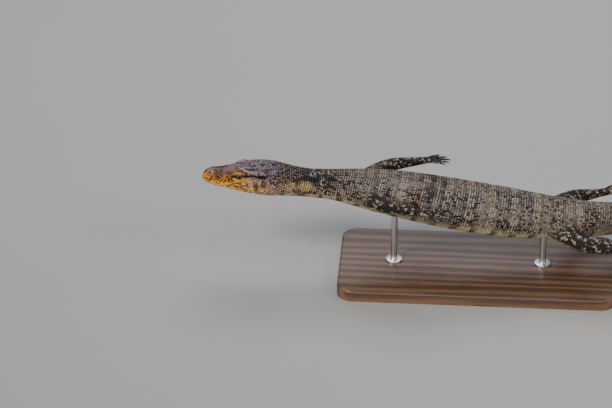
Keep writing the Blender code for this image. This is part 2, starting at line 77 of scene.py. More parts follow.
limbs = {  # joints as length along the spine, distance to the side, height over the spine line
    "armLeft": {
        "side": 1,
        "joints": ((246, 22, -1), (256, 34, 0), (294, 58, 5), (344, 66, 10), (365, 69, 12)),
    },
    "armRight": {
        "side": -1,
        "joints": ((246, 22, -2), (256, 35, 0), (286, 67, 6), (334, 86, 12), (355, 94, 14)),
    },
    "legLeft": {
        "side": 1,
        "joints": ((540, 16, -5), (552, 30, -6), (600, 68, -8), (656, 79, -10), (682, 82, -11)),
    },
    "legRight": {
        "side": -1,
        "joints": ((540, 16, -5), (552, 31, -5), (594, 74, -6), (648, 93, -9), (673, 99, -10)),
    },
}
limbShape = {
    # half width and height at the first four joints
    "arm": ((13.5, 15), (14.5, 14.5), (10.5, 10.5), (6.8, 5.6)),
    "leg": ((19, 20), (19.5, 18.5), (13, 12.5), (8, 6.6)),
    "stride": 0.002, "hand": 0.078,
    "zone": (226, 430, 780),  # where the arms may start, where legs may, and where legs end
}
sides = (1, -1)  # left and right
chunk = 20000  # points worked on at once
luck = np.random.default_rng(41)


def smoothCurve(table, at):
    # values between the places of a table, along a curve that never overshoots
    places = np.array(sorted(table), dtype=float)
    values = np.array([np.atleast_1d(table[place]) for place in sorted(table)], dtype=float)
    at = np.clip(np.atleast_1d(np.array(at, dtype=float)), places[0], places[-1])
    rises = np.diff(values, axis=0) / np.diff(places)[:, None]
    slopes = np.zeros_like(values)
    same = rises[:-1] * rises[1:] > 0
    slopes[1:-1] = np.where(same, 2 * rises[:-1] * rises[1:] / np.where(same, rises[:-1] + rises[1:], 1), 0)
    slopes[0], slopes[-1] = rises[0], rises[-1]
    left = np.clip(np.searchsorted(places, at, side="right") - 1, 0, len(places) - 2)
    width = (places[left + 1] - places[left])[:, None]
    t = (at - places[left])[:, None] / width
    return ((2 * t ** 3 - 3 * t ** 2 + 1) * values[left] + (t ** 3 - 2 * t ** 2 + t) * slopes[left] * width
            + (3 * t ** 2 - 2 * t ** 3) * values[left + 1] + (t ** 3 - t ** 2) * slopes[left + 1] * width)


def curveAt(table, at):
    return smoothCurve(table, at)[:, 0]


def rowsAt(at, knots, rows):
    # rows of numbers read between their knots
    return np.stack([np.interp(at, knots, column) for column in rows.T], 1)


def unit(vectors):
    return vectors / np.maximum(np.linalg.norm(vectors, axis=-1, keepdims=True), 1e-12)


def step(low, high, value):
    # 0 below low, 1 above high, and smooth between
    t = np.clip((value - low) / (high - low), 0, 1)
    return t * t * (3 - 2 * t)


def hill(value, centre, reach):
    return np.exp(-((value - centre) / reach) ** 2)


def band(value, low, high, soft):
    # 1 between low and high, fading over soft at both ends
    return step(low - soft, low + soft, value) * step(high + soft, high - soft, value)


# The spine line, one point a millimetre
spineLengths = np.arange(body["tailEnd"] + 1, dtype=float)
spineTurn, spineSlope = (np.radians(curveAt(body[name], spineLengths)) for name in ("turn", "slope"))
spineAhead = np.stack([np.sin(spineTurn) * np.cos(spineSlope), np.cos(spineTurn) * np.cos(spineSlope),
                       -np.sin(spineSlope)], 1)
spinePoints = np.vstack([np.zeros(3), np.cumsum((spineAhead[1:] + spineAhead[:-1]) / 2, axis=0)]) * 0.001
spinePoints[:, :2] -= spinePoints[body["anchor"], :2].copy()
spinePoints[:, 2] += body["snoutHeight"]


def axesAt(along):
    # spine point with its side, back and up directions
    point = rowsAt(np.atleast_1d(along), spineLengths, spinePoints)
    back = unit(rowsAt(np.atleast_1d(along), spineLengths, spineAhead))
    side = unit(np.cross(back, (0, 0, 1)))
    return point, side, back, np.cross(side, back)


def axesOf(along):
    return (value[0] for value in axesAt(along))


def bodyPoint(along, side, up):
    # world place of a point beside the spine, from millimetres
    point, sideways, _, upwards = axesOf(along)
    return point + sideways * side * 0.001 + upwards * up * 0.001


def bodyPlace(points):
    # length along the spine, distance to the side and height over the spine line, in millimetres
    along = np.empty(len(points))
    coarse = spinePoints[::10]
    for start in range(0, len(points), chunk):
        some = points[start:start + chunk]
        away = (coarse ** 2).sum(1) - 2 * some @ coarse.T
        near = away.argmin(1) * 10.0
        for _ in range(3):
            centre, _, back, _ = axesAt(near)
            near = np.clip(near + ((some - centre) * back).sum(1) * 1000, 0, body["tailEnd"])
        along[start:start + chunk] = near
    centre, side, _, up = axesAt(along)
    away = (points - centre) * 1000
    return along, (away * side).sum(1), (away * up).sum(1)


def bodyRadius(along, theta):
    # distance from the spine line to the plain body, theta in radians from the top towards the left
    half, up, down = smoothCurve(body["sections"], along).T
    top, bottom = smoothCurve(body["squareness"], along).T
    power = np.where(np.cos(theta) >= 0, top, bottom)
    height = np.where(np.cos(theta) >= 0, up, down)
    return (np.abs(np.sin(theta) / half) ** power + np.abs(np.cos(theta) / height) ** power) ** (-1 / power)


def limbLine(name):
    # the limb's axis to the wrist and straight on through the hand
    side, joints = limbs[name]["side"], limbs[name]["joints"]
    points = np.array([bodyPoint(along, side * across, up) for along, across, up in joints])
    knots = np.concatenate([[0], np.cumsum(np.linalg.norm(np.diff(points, axis=0), axis=1))])
    wrist = knots[3]
    at = np.linspace(0, knots[-1], 60)
    path = smoothCurve(dict(zip(knots, points)), at)
    ahead = unit(np.gradient(path, axis=0))
    hand = unit(rowsAt([wrist], at, ahead))
    steps, beyond = (np.arange(0, end, limbShape["stride"]) for end in (wrist, limbShape["hand"]))
    girth = {knot * 1000: size for knot, size in zip(knots, limbShape[name[:3]])}
    return {"line": np.vstack([rowsAt(steps, at, path), rowsAt([wrist], at, path) + beyond[:, None] * hand]),
            "ahead": np.vstack([unit(rowsAt(steps, at, ahead)), np.repeat(hand, len(beyond), 0)]),
            "at": np.concatenate([steps, wrist + beyond]) * 1000, "wrist": wrist * 1000, "girth": girth}


limbLines = {name: limbLine(name) for name in limbs}
wrists = np.array([shape["wrist"] for shape in limbLines.values()] + [0])  # the last stands for no limb


def limbPlace(name, points):
    # length along the limb, distance across it to the right and up, in millimetres, and its direction
    shape = limbLines[name]
    nearest = np.empty(len(points), dtype=int)
    for start in range(0, len(points), chunk):
        some = points[start:start + chunk]
        nearest[start:start + chunk] = ((some[:, None, :] - shape["line"][None]) ** 2).sum(2).argmin(1)
    ahead = shape["ahead"][nearest]
    across = unit(np.cross(ahead, (0, 0, 1)))
    up = np.cross(across, ahead)
    away = (points - shape["line"][nearest]) * 1000
    return shape["at"][nearest] + (away * ahead).sum(1), (away * across).sum(1), (away * up).sum(1), ahead


def placesOf(points):
    # everything that the markings and the coat need to know about where points lie
    along, side, up = bodyPlace(points)
    theta = np.arctan2(side, up)
    outside = np.hypot(side, up) - bodyRadius(along, theta)
    armsFrom, legsFrom, legsTo = limbShape["zone"]
    isLimb = (step(0.8, 4.0, outside) > 0.5) & (along > armsFrom) & (along < legsTo)
    limb = np.where(isLimb, 2 * (along >= legsFrom) + (side <= 0), -1)
    t, across, rise = np.zeros((3, len(points)))
    ahead = axesAt(along)[2]
    for number, name in enumerate(limbs):
        chosen = limb == number
        if chosen.any():
            t[chosen], across[chosen], rise[chosen], ahead[chosen] = limbPlace(name, points[chosen])
    return SimpleNamespace(along=along, side=side, up=up, theta=theta, outside=outside, limb=limb,
                           t=t, across=across, rise=rise, ahead=ahead)


# Markings: linear colours and where they lie
paint = {
    "black": (0.006, 0.0055, 0.0065), "dark": (0.017, 0.0135, 0.014), "crown": (0.182, 0.132, 0.148),
    "lavender": (0.40, 0.32, 0.355), "snoutTop": (0.250, 0.160, 0.154), "greyBrown": (0.040, 0.028, 0.024),
    "cream": (0.56, 0.45, 0.33), "pale": (0.72, 0.59, 0.40), "tan": (0.34, 0.17, 0.08),
    "orange": (1.0, 0.28, 0.008), "yellow": (1.0, 0.46, 0.014), "bright": (1.0, 0.62, 0.045),
    "rust": (0.095, 0.024, 0.008), "belly": (0.62, 0.48, 0.24), "ear": (0.045, 0.014, 0.010),
    "plum": (0.070, 0.028, 0.034), "brown": (0.036, 0.017, 0.012), "pink": (0.36, 0.185, 0.15),
    "blueBlack": (0.013, 0.014, 0.034), "olive": (0.034, 0.023, 0.010), "mauve": (0.33, 0.225, 0.20),
    "umber": (0.026, 0.015, 0.013),
}
paint = {name: np.array(colour) for name, colour in paint.items()}
hideDraw = (0.86, 0.5, 0.5)  # stands in for the draws on the hide between the scales


def dyeing(colours):
    # gives the call that lays a named colour over these colours, as far as a mask says
    def dye(name, mask):
        colours[:] += (paint[name] - colours) * np.clip(mask, 0, 1)[:, None]
    return dye


def waves(places, size, seed):
    # soft blotches from -1 to 1 over the body, about size millimetres across
    shift = np.random.default_rng(seed).uniform(0, 6.28, 8)
    a, b = places.along / size, (places.side + 0.6 * places.up) / size
    return (np.sin(2.1 * a + 1.3 * b + shift[0]) + np.sin(-1.2 * a + 2.3 * b + shift[1])
            + np.sin(3.1 * a - 0.7 * b + shift[2]) + np.sin(0.6 * a + 3.3 * b + shift[3])) / 2.6


def evenDraws(cells, seed):
    # three even draws from 0 to 1 for each cell, the same each time
    mixed = (cells[:, 0] * 73856093) ^ (cells[:, 1] * 19349663) ^ (cells[:, 2] * 83492791) \
        ^ (seed * 2654435761)
    draws = []
    for _ in range(3):
        mixed = ((mixed ^ (mixed >> 15)) * 224682251) & 0xffffffff
        mixed = ((mixed ^ (mixed >> 13)) * 326648991) & 0xffffffff
        draws.append(mixed / 0x100000000)
    return np.stack(draws, 1)


def pebbles(places, size, seed):
    # a cell pattern: distance to the nearest cell's middle, as a share of size, and that cell's even draw
    onLimb = places.limb >= 0
    where = np.stack([np.where(onLimb, places.t + 2000 * places.limb, places.along - 500),
                      np.where(onLimb, places.across, places.side),
                      np.where(onLimb, places.rise, places.up)], 1) / size
    cells = np.floor(where).astype(np.int64)
    nearest, number = np.full(len(cells), 9.0), np.zeros(len(cells))
    for shift in product((-1, 0, 1), repeat=3):
        other = cells + shift
        draws = evenDraws(other, seed)
        away = np.linalg.norm(other + draws - where, axis=1)
        number = np.where(away < nearest, draws.sum(1) * 7.3 % 1, number)
        nearest = np.minimum(nearest, away)
    return nearest, number


# Lines on the side of the head: length from the snout and height, in millimetres, seen from a little above
headLines = {
    "edge": {0: 2.2, 5: 5.0, 10: 7.6, 17: 6.0, 24: 2.0, 32: -0.8, 45: -0.8, 50: 2.5, 56: 3.0, 66: 0.0,
             70: -3.6, 85: -3.6, 93: -6.8, 97: -8.0, 101: -14, 106: -19, 112: -22, 118: -24},
    "lip": {0: -5.0, 9: -5.5, 18: -7.5, 30: -9.5, 40: -10.5, 58: -12.0, 70: -13.0, 80: -14.0},
    "arch": {44.0: -1.6, 46.0: 0.8, 48.5: 2.8, 53.0: 4.4, 58.8: 4.0, 63.5: 0.9, 66.5: -1.4},
    "slitTop": {44: -1.8, 48: -0.8, 55: -0.2, 62: -0.3, 66: -0.5, 71: -1.4},
    "lowerLidTop": {45: -4.2, 48.6: -3.6, 53: -5.2, 57.3: -7.0, 60: -6.0, 65: -3.7, 70.5: -4.2, 72: -6.0},
    "lowerLidBottom": {45: -4.8, 48: -7.4, 53: -10.0, 57.3: -10.6, 60: -10.0, 64.3: -10.2, 70.5: -7.6,
                       72: -6.0},
    "stripeTop": {64: -0.5, 70: -0.4, 76: -0.2, 85: -1.0, 91: -1.2, 97: -2.6, 99: -4.0},
    "stripeBottom": {64: -2.8, 70: -2.9, 78: -3.1, 85: -4.4, 90: -6.0, 95: -7.0, 99: -5.8},
    "ridgeTop": {64: 3.4, 69: 4.6, 80: 5.0, 90: 4.4, 95: 3.0, 98: 0.0},
    "groove": {60: 8.8, 66: 8.4, 84: 7.6, 90: 6.6},
    "browLine": {52: 12.0, 58: 11.4, 62: 9.4, 66: 7.0, 70: 5.2},
}


def headFace(side, back, up):
    # length from the snout and height on the side of the head, seen from a little above, and the lines there
    along = 1.0066 * back - 0.075 * side + 0.029 * up
    height = 0.8623 * up - 0.5094 * side - 0.0622 * back
    heights = {name: curveAt(table, along) for name, table in headLines.items()}
    return along, height, SimpleNamespace(**heights)


def headMarks(places, chance):
    side, up, back = np.abs(places.side), places.up, places.along
    along, height, line = headFace(side, back, up)
    first, second, third = chance.T[:3]
    speck, speckNumber = pebbles(places, 3.5, 5)
    fleck, fleckNumber = pebbles(places, 5.2, 12)
    clump, clumpNumber = pebbles(places, 6.5, 9)

    def box(start, end, fade, low, high, rim):
        return band(along, start, end, fade) * band(height, low, high, rim)

    # grey-lavender crown, browner on the snout, with pale dots towards the neck
    colours = paint["crown"] * (0.70 + 0.6 * second)[:, None]
    dye = dyeing(colours)
    snout = step(60, 42, back)
    dye("snoutTop", snout * (0.60 + 0.3 * second))
    dye("dark", (1 - snout) * (first > 0.68) * 0.6)
    rear = step(66, 92, back) * np.maximum(step(7.5, 10.5, height), step(95, 99, along))
    dye("dark", rear * 0.6)
    dye("lavender", rear * (first < 0.52) * (0.22 + 0.55 * second))
    dye("lavender", band(along, 54, 96, 6) * step(9, 14, height) * (first < 0.40) * (0.35 + 0.5 * third))
    dye("dark", band(along, -4, 6.5, 1.5) * step(2.2, 3.8, height) * 0.85)
    # warm flank: orange at the snout, yellow along the lips, pinkish tan behind the eye
    flank = step(line.edge + 1.0, line.edge - 1.0, height + 0.8 * waves(places, 6, 3))
    rearFade = step(68, 80, along)
    warm = paint["orange"] * (1 - rearFade)[:, None] + paint["pink"] * rearFade[:, None]
    colours += (warm - colours) * (flank * (0.82 + 0.18 * second))[:, None]
    dye("rust", flank * box(16, 47, 3, -9.0, -0.5, 1.2) * (0.30 + 0.25 * (clump < 0.5)))
    low = step(line.lip + 2.6, line.lip - 2.2, height + 1.2 * waves(places, 5, 4)) * step(84, 73, along)
    dye("yellow", flank * low * 0.92)
    dye("bright", flank * low * step(line.lip - 2, line.lip - 7, height) * 0.75)
    dye("pale", flank * low * step(53, 68, along) * 0.42)
    # speckles of rust and plum with brighter rings between them
    thick = flank * (0.95 - 0.55 * step(9, 4, along) - 0.25 * rearFade)
    mark = step(0.60, 0.46, speck) * (speckNumber < 0.86)
    dye("bright", thick * band(speck, 0.60, 0.76, 0.04) * (1 - rearFade) * 0.45)
    dye("rust", thick * mark * (speckNumber < 0.46))
    dye("plum", thick * mark * (speckNumber >= 0.46) * 0.85)
    ringed = flank * low * step(44, 54, along) * step(72, 65, along) * (fleckNumber < 0.75)
    dye("plum", ringed * band(fleck, 0.30, 0.52, 0.05) * 0.75)
    dye("mauve", ringed * step(0.24, 0.16, fleck) * 0.5)
    dye("mauve", flank * low * (clump < 0.30) * (clumpNumber < 0.5) * 0.6)
    # fine brown net behind the nostril and rust before the eye
    net = box(18.0, 32.5, 1.5, -2.4, 10.6, 1.2)
    dye("brown", net * 0.86)
    dye("tan", net * (first < 0.5) * 0.75)
    dye("mauve", net * (first > 0.88) * 0.4)
    dye("rust", hill(along, 40.5, 7.5) * hill(height, 2.8, 4.6) * 0.95)
    dye("orange", hill(along, 38, 4) * hill(height, 0.8, 1.4) * 0.35)
    dye("tan", box(8.5, 17.5, 1.5, -2.0, 7.0, 1.5) * (0.40 + 0.3 * second))
    # painted shade: brown along the top of the snout on the right side only, the side turned away from the
    # light
    farSideShade = step(-1, -3, places.side) * step(8.0, 10.5, up) * band(back, 2, 38, 3)
    dye("brown", farSideShade * (0.7 + 0.25 * second))
    # dark patch behind the eye, painted highlight along the brow ridge, painted shade in the groove over the
    # temple, and the ridge under it with a painted highlight on its top edge
    dye("dark", box(66, 73, 1.5, -0.5, 5.0, 1.0) * 0.7)
    # painted highlight: a lavender band along the brow ridge
    dye("lavender", box(57, 71, 2, line.browLine - 1.3, line.browLine + 1.6, 0.6) * 0.85)
    # painted shade: blue-black in the groove between the crown and the ridge
    dye("blueBlack", box(66, 85, 2, line.groove - 0.9, line.groove + 0.9, 0.4) * 0.9)
    ridge = box(70, 97, 1.5, line.stripeTop, line.ridgeTop, 0.5)
    dye("pink", ridge * (0.75 + 0.25 * first))
    # painted highlight: lavender along the top edge of the ridge
    dye("lavender", ridge * step(line.ridgeTop - 1.8, line.ridgeTop - 0.6, height) * 0.7)
    dye("brown", ridge * hill(along, 87, 1.6) * 0.6)
    # lids, with a painted shadow along the top of the upper lid, under the brow
    dye("brown", box(44, 67, 1.0, line.arch, line.arch + 1.1, 0.5) * 0.6)
    upper = box(45.3, 66.3, 0.7, line.slitTop, line.arch, 0.45)
    dye("yellow", upper)
    dye("orange", upper * step(55, 47, along) * 0.8)
    dye("bright", upper * hill(along, 56, 5) * step(1.5, 4.0, height) * 0.6)
    dye("rust", upper * (0.44 + 0.30 * step(1.6, 0.4, height)))
    lower = box(46, 71, 0.8, line.lowerLidBottom, line.lowerLidTop, 0.5)
    dye("yellow", lower)
    dye("tan", lower * step(57, 61, along) * 0.45)
    dye("rust", lower * 0.16)
    dye("plum", box(46, 70, 2, line.lowerLidBottom - 1.3, line.lowerLidBottom - 0.2, 0.4) * 0.6)
    dye("plum", box(43.6, 46.6, 0.6, -9.0, -3.5, 0.7) * 0.75)
    # cheek, ear and the yellow under it
    dye("pink", box(72, 91, 4, -14.6, -4.6, 2.5) * 0.6)
    dye("pale", box(70, 92, 4, -14.6, -5.6, 2.5) * (first < 0.6) * 0.75)
    dye("umber", box(74, 93, 3, -8.5, -4.0, 1.5) * (second < 0.3) * 0.4)
    dye("cream", box(64, 75, 3, -18, -8, 2) * (first < 0.6) * 0.5)
    dye("rust", box(78, 87, 3, -19, -9, 2) * 0.45)
    dye("olive", box(79, 89, 4, -24.5, -13.0, 3) * (0.55 + 0.4 * (first < 0.6)))
    aroundEar = hill(np.hypot(along - 94.5, (height + 14.8) / 1.35), 7.0, 2.0)
    dye("tan", aroundEar * 0.75)
    dye("pale", aroundEar * (first < 0.6) * 0.55)
    dye("bright", box(86, 101, 4, -29, -22.5, 2.5) * (first < 0.7) * (0.5 + 0.5 * second))
    dye("cream", box(99, 114, 4, -30, -7, 4) * (first < 0.5) * (0.3 + 0.4 * third))
    # the dark slit between the lids, which runs on into the stripe
    slit = box(44.2, 70.5, 0.6, line.lowerLidTop - 0.3, line.slitTop + 0.2, 0.35)
    stripe = box(66, 98, 1.0, line.stripeBottom - 0.4, line.stripeTop + 0.2, 0.5)
    dye("black", 1.4 * np.maximum(slit, stripe))
    # underside: pale yellow with dark bars
    under = step(-11.5, -15.5, up) * step(8, 16, back)
    bars = step(0.30, 0.62, np.sin(back / 2.9 + 0.9 * side / 9) * 0.5 + 0.5 + 0.22 * waves(places, 9, 8))
    dye("belly", under * 0.9)
    dye("dark", under * bars * step(12, 22, back) * (0.55 + 0.3 * second))
    return colours


trunkRings = {"rowStep": 34.0, "start": 242, "turn": 27.0, "squash": 0.62}  # rows of rings across the back
# along, degrees from the top, radius; and along, degrees, with their reaches
neckRings = ((168, 20, 5.4), (182, 2, 5.6), (198, 8, 5.2), (184, 58, 4.2), (212, 34, 5.0))
neckPatches = ((165, 47, 15, 11.5), (198, 45, 10.5, 11), (197, 77, 7.0, 11))


def bodyMarks(places, chance):
    along, theta = places.along, np.degrees(places.theta)
    turn = np.abs(theta)
    first, second, third = chance.T[:3]
    clump = pebbles(places, 9, 31)[0]

    def spot(at, facing, alongReach, turnReach):
        # soft oval on both flanks, facing in degrees from the top
        return np.exp(-(((along - at) / alongReach) ** 2 + ((turn - facing) / turnReach) ** 2) ** 2)

    # each scale is a pale dot on dark hide, purple-grey on the neck and greyer on the trunk
    colours = paint["greyBrown"] * (0.5 + 0.8 * second)[:, None]
    dye = dyeing(colours)
    neck = step(236, 190, along)
    dye("umber", neck * 0.75)
    share = 0.84 - 0.20 * neck + 0.10 * waves(places, 22, 11)
    dots = (first < share) * (0.23 + 0.02 * neck + (0.465 + 0.235 * neck) * third)
    dye("cream", dots * (1 - 0.65 * neck))
    dye("lavender", dots * (1 - neck) * 0.35)
    dye("mauve", dots * neck * 0.62)
    dye("black", (first > 0.93) * 0.8)
    # rows of pale rings across the back, faint as the photo has them
    onBack = step(228, 250, along) * step(640, 600, along) * step(118, 96, turn)
    phase = (along - trunkRings["start"]) / trunkRings["rowStep"]
    within = (phase - np.round(phase)) * trunkRings["rowStep"]
    across = (theta / trunkRings["turn"] + 0.5 * (np.round(phase) % 2)) % 1 - 0.5
    radius = np.hypot(within, across * trunkRings["turn"] * trunkRings["squash"])
    dye("dark", hill(radius, 9.6, 2.4) * onBack * 0.5)
    dye("cream", hill(radius, 4.6, 1.9) * onBack * (0.2 + 0.6 * (first < 0.75)))
    # black patches, rings and yellow dots on the neck
    dye("black", spot(167, 16, 22, 24) * (clump < 0.62) * 0.6)
    dye("black", spot(192, 14, 20, 24) * (clump < 0.60) * 0.6)
    for at, facing, size in neckRings:
        away = np.hypot(along - at, (turn - facing) * 0.39) / size
        dye("black", step(1.8, 1.3, away) * 0.85)
        dye("pale", band(away, 0.60, 1.15, 0.25) * (first < 0.72) * (0.45 + 0.5 * third))
    for patch in neckPatches:
        dye("black", spot(*patch) * 1.4)
    dye("tan", spot(331, 55, 5.5, 52) * (first < 0.55) * 0.7)
    dye("black", spot(350, 46, 10, 30) * (first > 0.16) * 0.9)
    # side of the neck: tan with yellow dots above it
    low = step(62, 72, turn) * step(160, 138, along)
    dye("tan", low * (0.45 + 0.35 * second))
    dye("pale", low * (first < 0.6) * 0.7)
    dye("yellow", spot(128, 69, 18, 7) * (first < 0.55) * (0.3 + 0.5 * third))
    dotted = spot(158, 79, 11, 19)
    dye("dark", dotted * 0.7)
    dotted = dotted * (first != hideDraw[0])
    dye("pale", dotted * np.where(first < 0.86, 1, 0.5))
    dye("bright", dotted * (0.12 + 0.6 * third))
    dye("orange", dotted * (second < 0.35) * 0.35)
    dye("cream", step(72, 84, turn) * step(150, 175, along) * step(240, 215, along) * (first < 0.6) * 0.6)
    # painted shade: a dark line along the fold at the side of the throat
    dye("dark", band(turn, 102, 107, 2) * band(along, 106, 172, 5) * 0.6)
    # belly, cream, with dark bars that come down from the flanks
    lowest = 112 + 6 * waves(places, 20, 14)
    belly = step(lowest - 7, lowest + 7, turn) * step(760, 600, along)
    dye("belly", belly * (0.88 - 0.12 * second))
    barPhase = along / 30.0 + 0.16 * np.sin(theta / 21.0)
    bar = step(0.62, 0.88, np.cos(2 * math.pi * barPhase) * 0.5 + 0.5 + 0.10 * waves(places, 14, 15))
    dye("dark", belly * bar * step(178, 142, turn) * (0.75 + 0.2 * second))
    throat = step(112, 124, turn) * step(230, 200, along)
    throatBar = step(0.66, 0.86, np.sin(along / 3.1) * 0.5 + 0.5 + 0.12 * waves(places, 9, 17))
    dye("dark", throat * throatBar * 0.55)
    # tail: dark and pale bands, wider towards the tip
    bandAt = 2 * math.pi * (along - 640) / (72 + 0.035 * (along - 640))
    ringed = np.cos(bandAt + 0.3 * np.sin(theta / 30)) * 0.5 + 0.5 + 0.22 * waves(places, 12, 19) \
        + 0.25 * (second - 0.5)
    tail = np.repeat(paint["dark"][None], len(along), 0) * (0.6 + 0.9 * second)[:, None]
    dyeTail = dyeing(tail)
    dyeTail("cream", step(0.60, 0.90, ringed) * (0.12 + 0.6 * (first < 0.7) * (0.4 + 0.6 * third)))
    dyeTail("cream", (first > 0.86) * step(1400, 700, along) * (0.3 + 0.5 * third))
    dyeTail("belly", step(140, 165, turn) * step(900, 700, along) * 0.6)
    return colours + (tail - colours) * step(600, 690, along)[:, None]


def limbMarks(places, chance):
    # black legs with small uneven yellow spots, greyer and finely dotted at the shoulder
    first, second, third = chance.T[:3]
    near, number = pebbles(places, 6.0, 41)
    small, smallNumber = pebbles(places, 3.4, 43)
    colours = paint["dark"] * (0.5 + 0.9 * second)[:, None]
    dye = dyeing(colours)
    spots = step(0.46, 0.36, near) * (number < 0.5) * 0.85
    dye("cream", spots * (0.6 + 0.4 * third))
    dye("yellow", spots * 0.15)
    dye("cream", (small < 0.36) * (smallNumber < 0.5) * (0.45 + 0.4 * third))
    root = step(38, 14, places.t)
    dye("greyBrown", root * 0.6)
    dye("cream", root * (first < 0.5) * 0.6)
    dye("belly", step(-2, -8, places.rise) * step(70, 40, places.t) * 0.5)
    return colours


def markings(places, chance):
    # linear colour of points or scales; chance holds three even draws for each
    colours = np.zeros((len(places.along), 3))
    isLimb = places.limb >= 0
    headTo, bodyFrom = 124, 110  # the two patterns fade into each other between these
    for marks, part in ((bodyMarks, (places.along > bodyFrom) & ~isLimb),
                        (headMarks, (places.along < headTo) & ~isLimb), (limbMarks, isLimb)):
        if part.any():
            some = SimpleNamespace(**{key: value[part] for key, value in vars(places).items()})
            share = step(headTo, bodyFrom, some.along)[:, None] if marks is headMarks else 1
            colours[part] += (marks(some, chance[part]) - colours[part]) * share
    return np.clip(colours, 0.004, 1)


# Materials
class Shade:
    # a value, colour or vector in a material, used in sums
    def __init__(self, finish, socket):
        self.finish, self.socket = finish, socket

    def maths(self, operation, first, second):
        return self.finish.node("Math", {"operation": operation}, {0: first, 1: second})

    def __add__(self, other):
        return self.maths("ADD", self, other)

    def __radd__(self, other):
        return self.maths("ADD", other, self)

    def __sub__(self, other):
        return self.maths("SUBTRACT", self, other)

    def __rsub__(self, other):
        return self.maths("SUBTRACT", other, self)

    def __mul__(self, other):
        return self.maths("MULTIPLY", self, other)

    def __rmul__(self, other):
        return self.maths("MULTIPLY", other, self)


class Finish:
    # a new material round one Principled shader
    def __init__(self, name, **fixed):
        self.material = bpy.data.materials.new(name)
        self.material.use_nodes = True
        self.tree = self.material.node_tree
        self.shader = next(node for node in self.tree.nodes if node.type == "BSDF_PRINCIPLED")
        self.wear(**fixed)

    def feed(self, socket, value):
        if isinstance(value, Shade):
            self.tree.links.new(value.socket, socket)
        elif isinstance(value, (int, float)):
            socket.default_value = value
        else:
            socket.default_value = tuple(value) + ((1,) if len(socket.default_value) > len(value) else ())

    def node(self, kind, settings=None, values=None, output=0):
        made = self.tree.nodes.new("ShaderNode" + kind)
        for key, value in (settings or {}).items():
            if key != "stops":
                setattr(made, key, value)
                continue
            while len(made.color_ramp.elements) < len(value):
                made.color_ramp.elements.new(0.5)
            for element, (position, colour) in zip(made.color_ramp.elements, value):
                element.position = position
                element.color = (*colour, 1)
        for socket, value in (values or {}).items():
            self.feed(made.inputs[socket], value)
        return Shade(self, made.outputs[output])

    def place(self, scale=(1, 1, 1)):
        return self.node("Mapping", values={"Vector": self.node("TexCoord", output="Object"), "Scale": scale})

    def painted(self, name, output="Fac"):
        return self.node("Attribute", {"attribute_name": name}, output=output)

    def noise(self, where, scale, detail=3.0, roughness=0.55):
        values = {"Vector": where, "Scale": scale, "Detail": detail, "Roughness": roughness}
        return self.node("TexNoise", values=values)

    def mixed(self, factor, first, second, blend="MIX"):
        settings = {"data_type": "RGBA", "blend_type": blend}
        return self.node("Mix", settings, {0: factor, 6: first, 7: second}, 2)

    def ramp(self, value, *stops):
        return self.node("ValToRGB", {"stops": stops}, {0: value})

    def bump(self, height, distance):
        return self.node("Bump", values={"Height": height, "Distance": distance, "Strength": 1.0})

    def wear(self, **worn):
        for socket, value in worn.items():
            self.feed(self.shader.inputs[socket.replace("_", " ")], value)
        return self.material


def hideFinish(name, gloss):
    # wet hide: the markings, finely mottled, with a grain between the scales
    made = Finish(name, Coat_Weight=gloss["coat"], Coat_Roughness=gloss["coatRoughness"],
                  Specular_IOR_Level=0.14)
    where, marking, rise = made.place(), made.painted("marking", "Color"), made.painted("rise")
    mottle = made.noise(where, 1400.0, 3.0)
    colour = made.mixed(mottle * 0.35, marking, made.mixed(1.0, marking, (0.42, 0.36, 0.34), "MULTIPLY"))
    colour = made.mixed(1 - rise, colour, made.mixed(1.0, colour, gloss["rim"], "MULTIPLY"))
    grain = made.node("TexVoronoi", {"feature": "F1"}, {"Vector": where, "Scale": gloss["grain"]})
    relief = made.noise(where, 2600.0, 2.0) * 0.5 + grain
    return made.wear(Base_Color=colour, Roughness=gloss["roughness"] + mottle * 0.22,
                     Normal=made.bump(relief, gloss["relief"]))


skinGloss = {"coat": 0.06, "coatRoughness": 0.16, "rim": (1, 1, 1), "grain": 900.0, "relief": 0.00022,
             "roughness": 0.42}
scaleGloss = {"coat": 0.11, "coatRoughness": 0.11, "rim": (0.08, 0.065, 0.065), "grain": 1500.0,
              "relief": 0.00005, "roughness": 0.28}
skinFinish = hideFinish("wet_skin", skinGloss)
scaleFinish = hideFinish("wet_scales", scaleGloss)


def eyeFinish():
    # brown iris with fine spokes round a round pupil
    made = Finish("eye_glass", Coat_Weight=0.8, Coat_Roughness=0.02, Roughness=0.08, Specular_IOR_Level=0.4)
    fleck = made.noise(made.place(), 2200.0, 4.0)
    colour = made.ramp(made.painted("gaze") + fleck * 0.02 - 0.01, (0.0, (0.002, 0.002, 0.002)),
                       (0.205, (0.003, 0.002, 0.002)), (0.235, (0.30, 0.135, 0.03)),
                       (0.36, (0.11, 0.042, 0.012)), (0.56, (0.040, 0.016, 0.008)),
                       (0.66, (0.010, 0.006, 0.005)))
    return made.wear(Base_Color=colour)


def hornFinish():
    # dark horn, paler and clearer at the tips, with fine growth lines
    made = Finish("claw_horn", Coat_Weight=0.3, Coat_Roughness=0.15)
    streak = made.noise(made.place((1, 0.25, 1)), 2400.0, 3.0)
    colour = made.ramp(made.painted("tip") + streak * 0.25 - 0.12, (0.0, (0.012, 0.010, 0.009)),
                       (0.55, (0.022, 0.016, 0.012)), (1.0, (0.085, 0.055, 0.032)))
    return made.wear(Base_Color=colour, Roughness=0.22 + streak * 0.2, Normal=made.bump(streak, 0.00008))


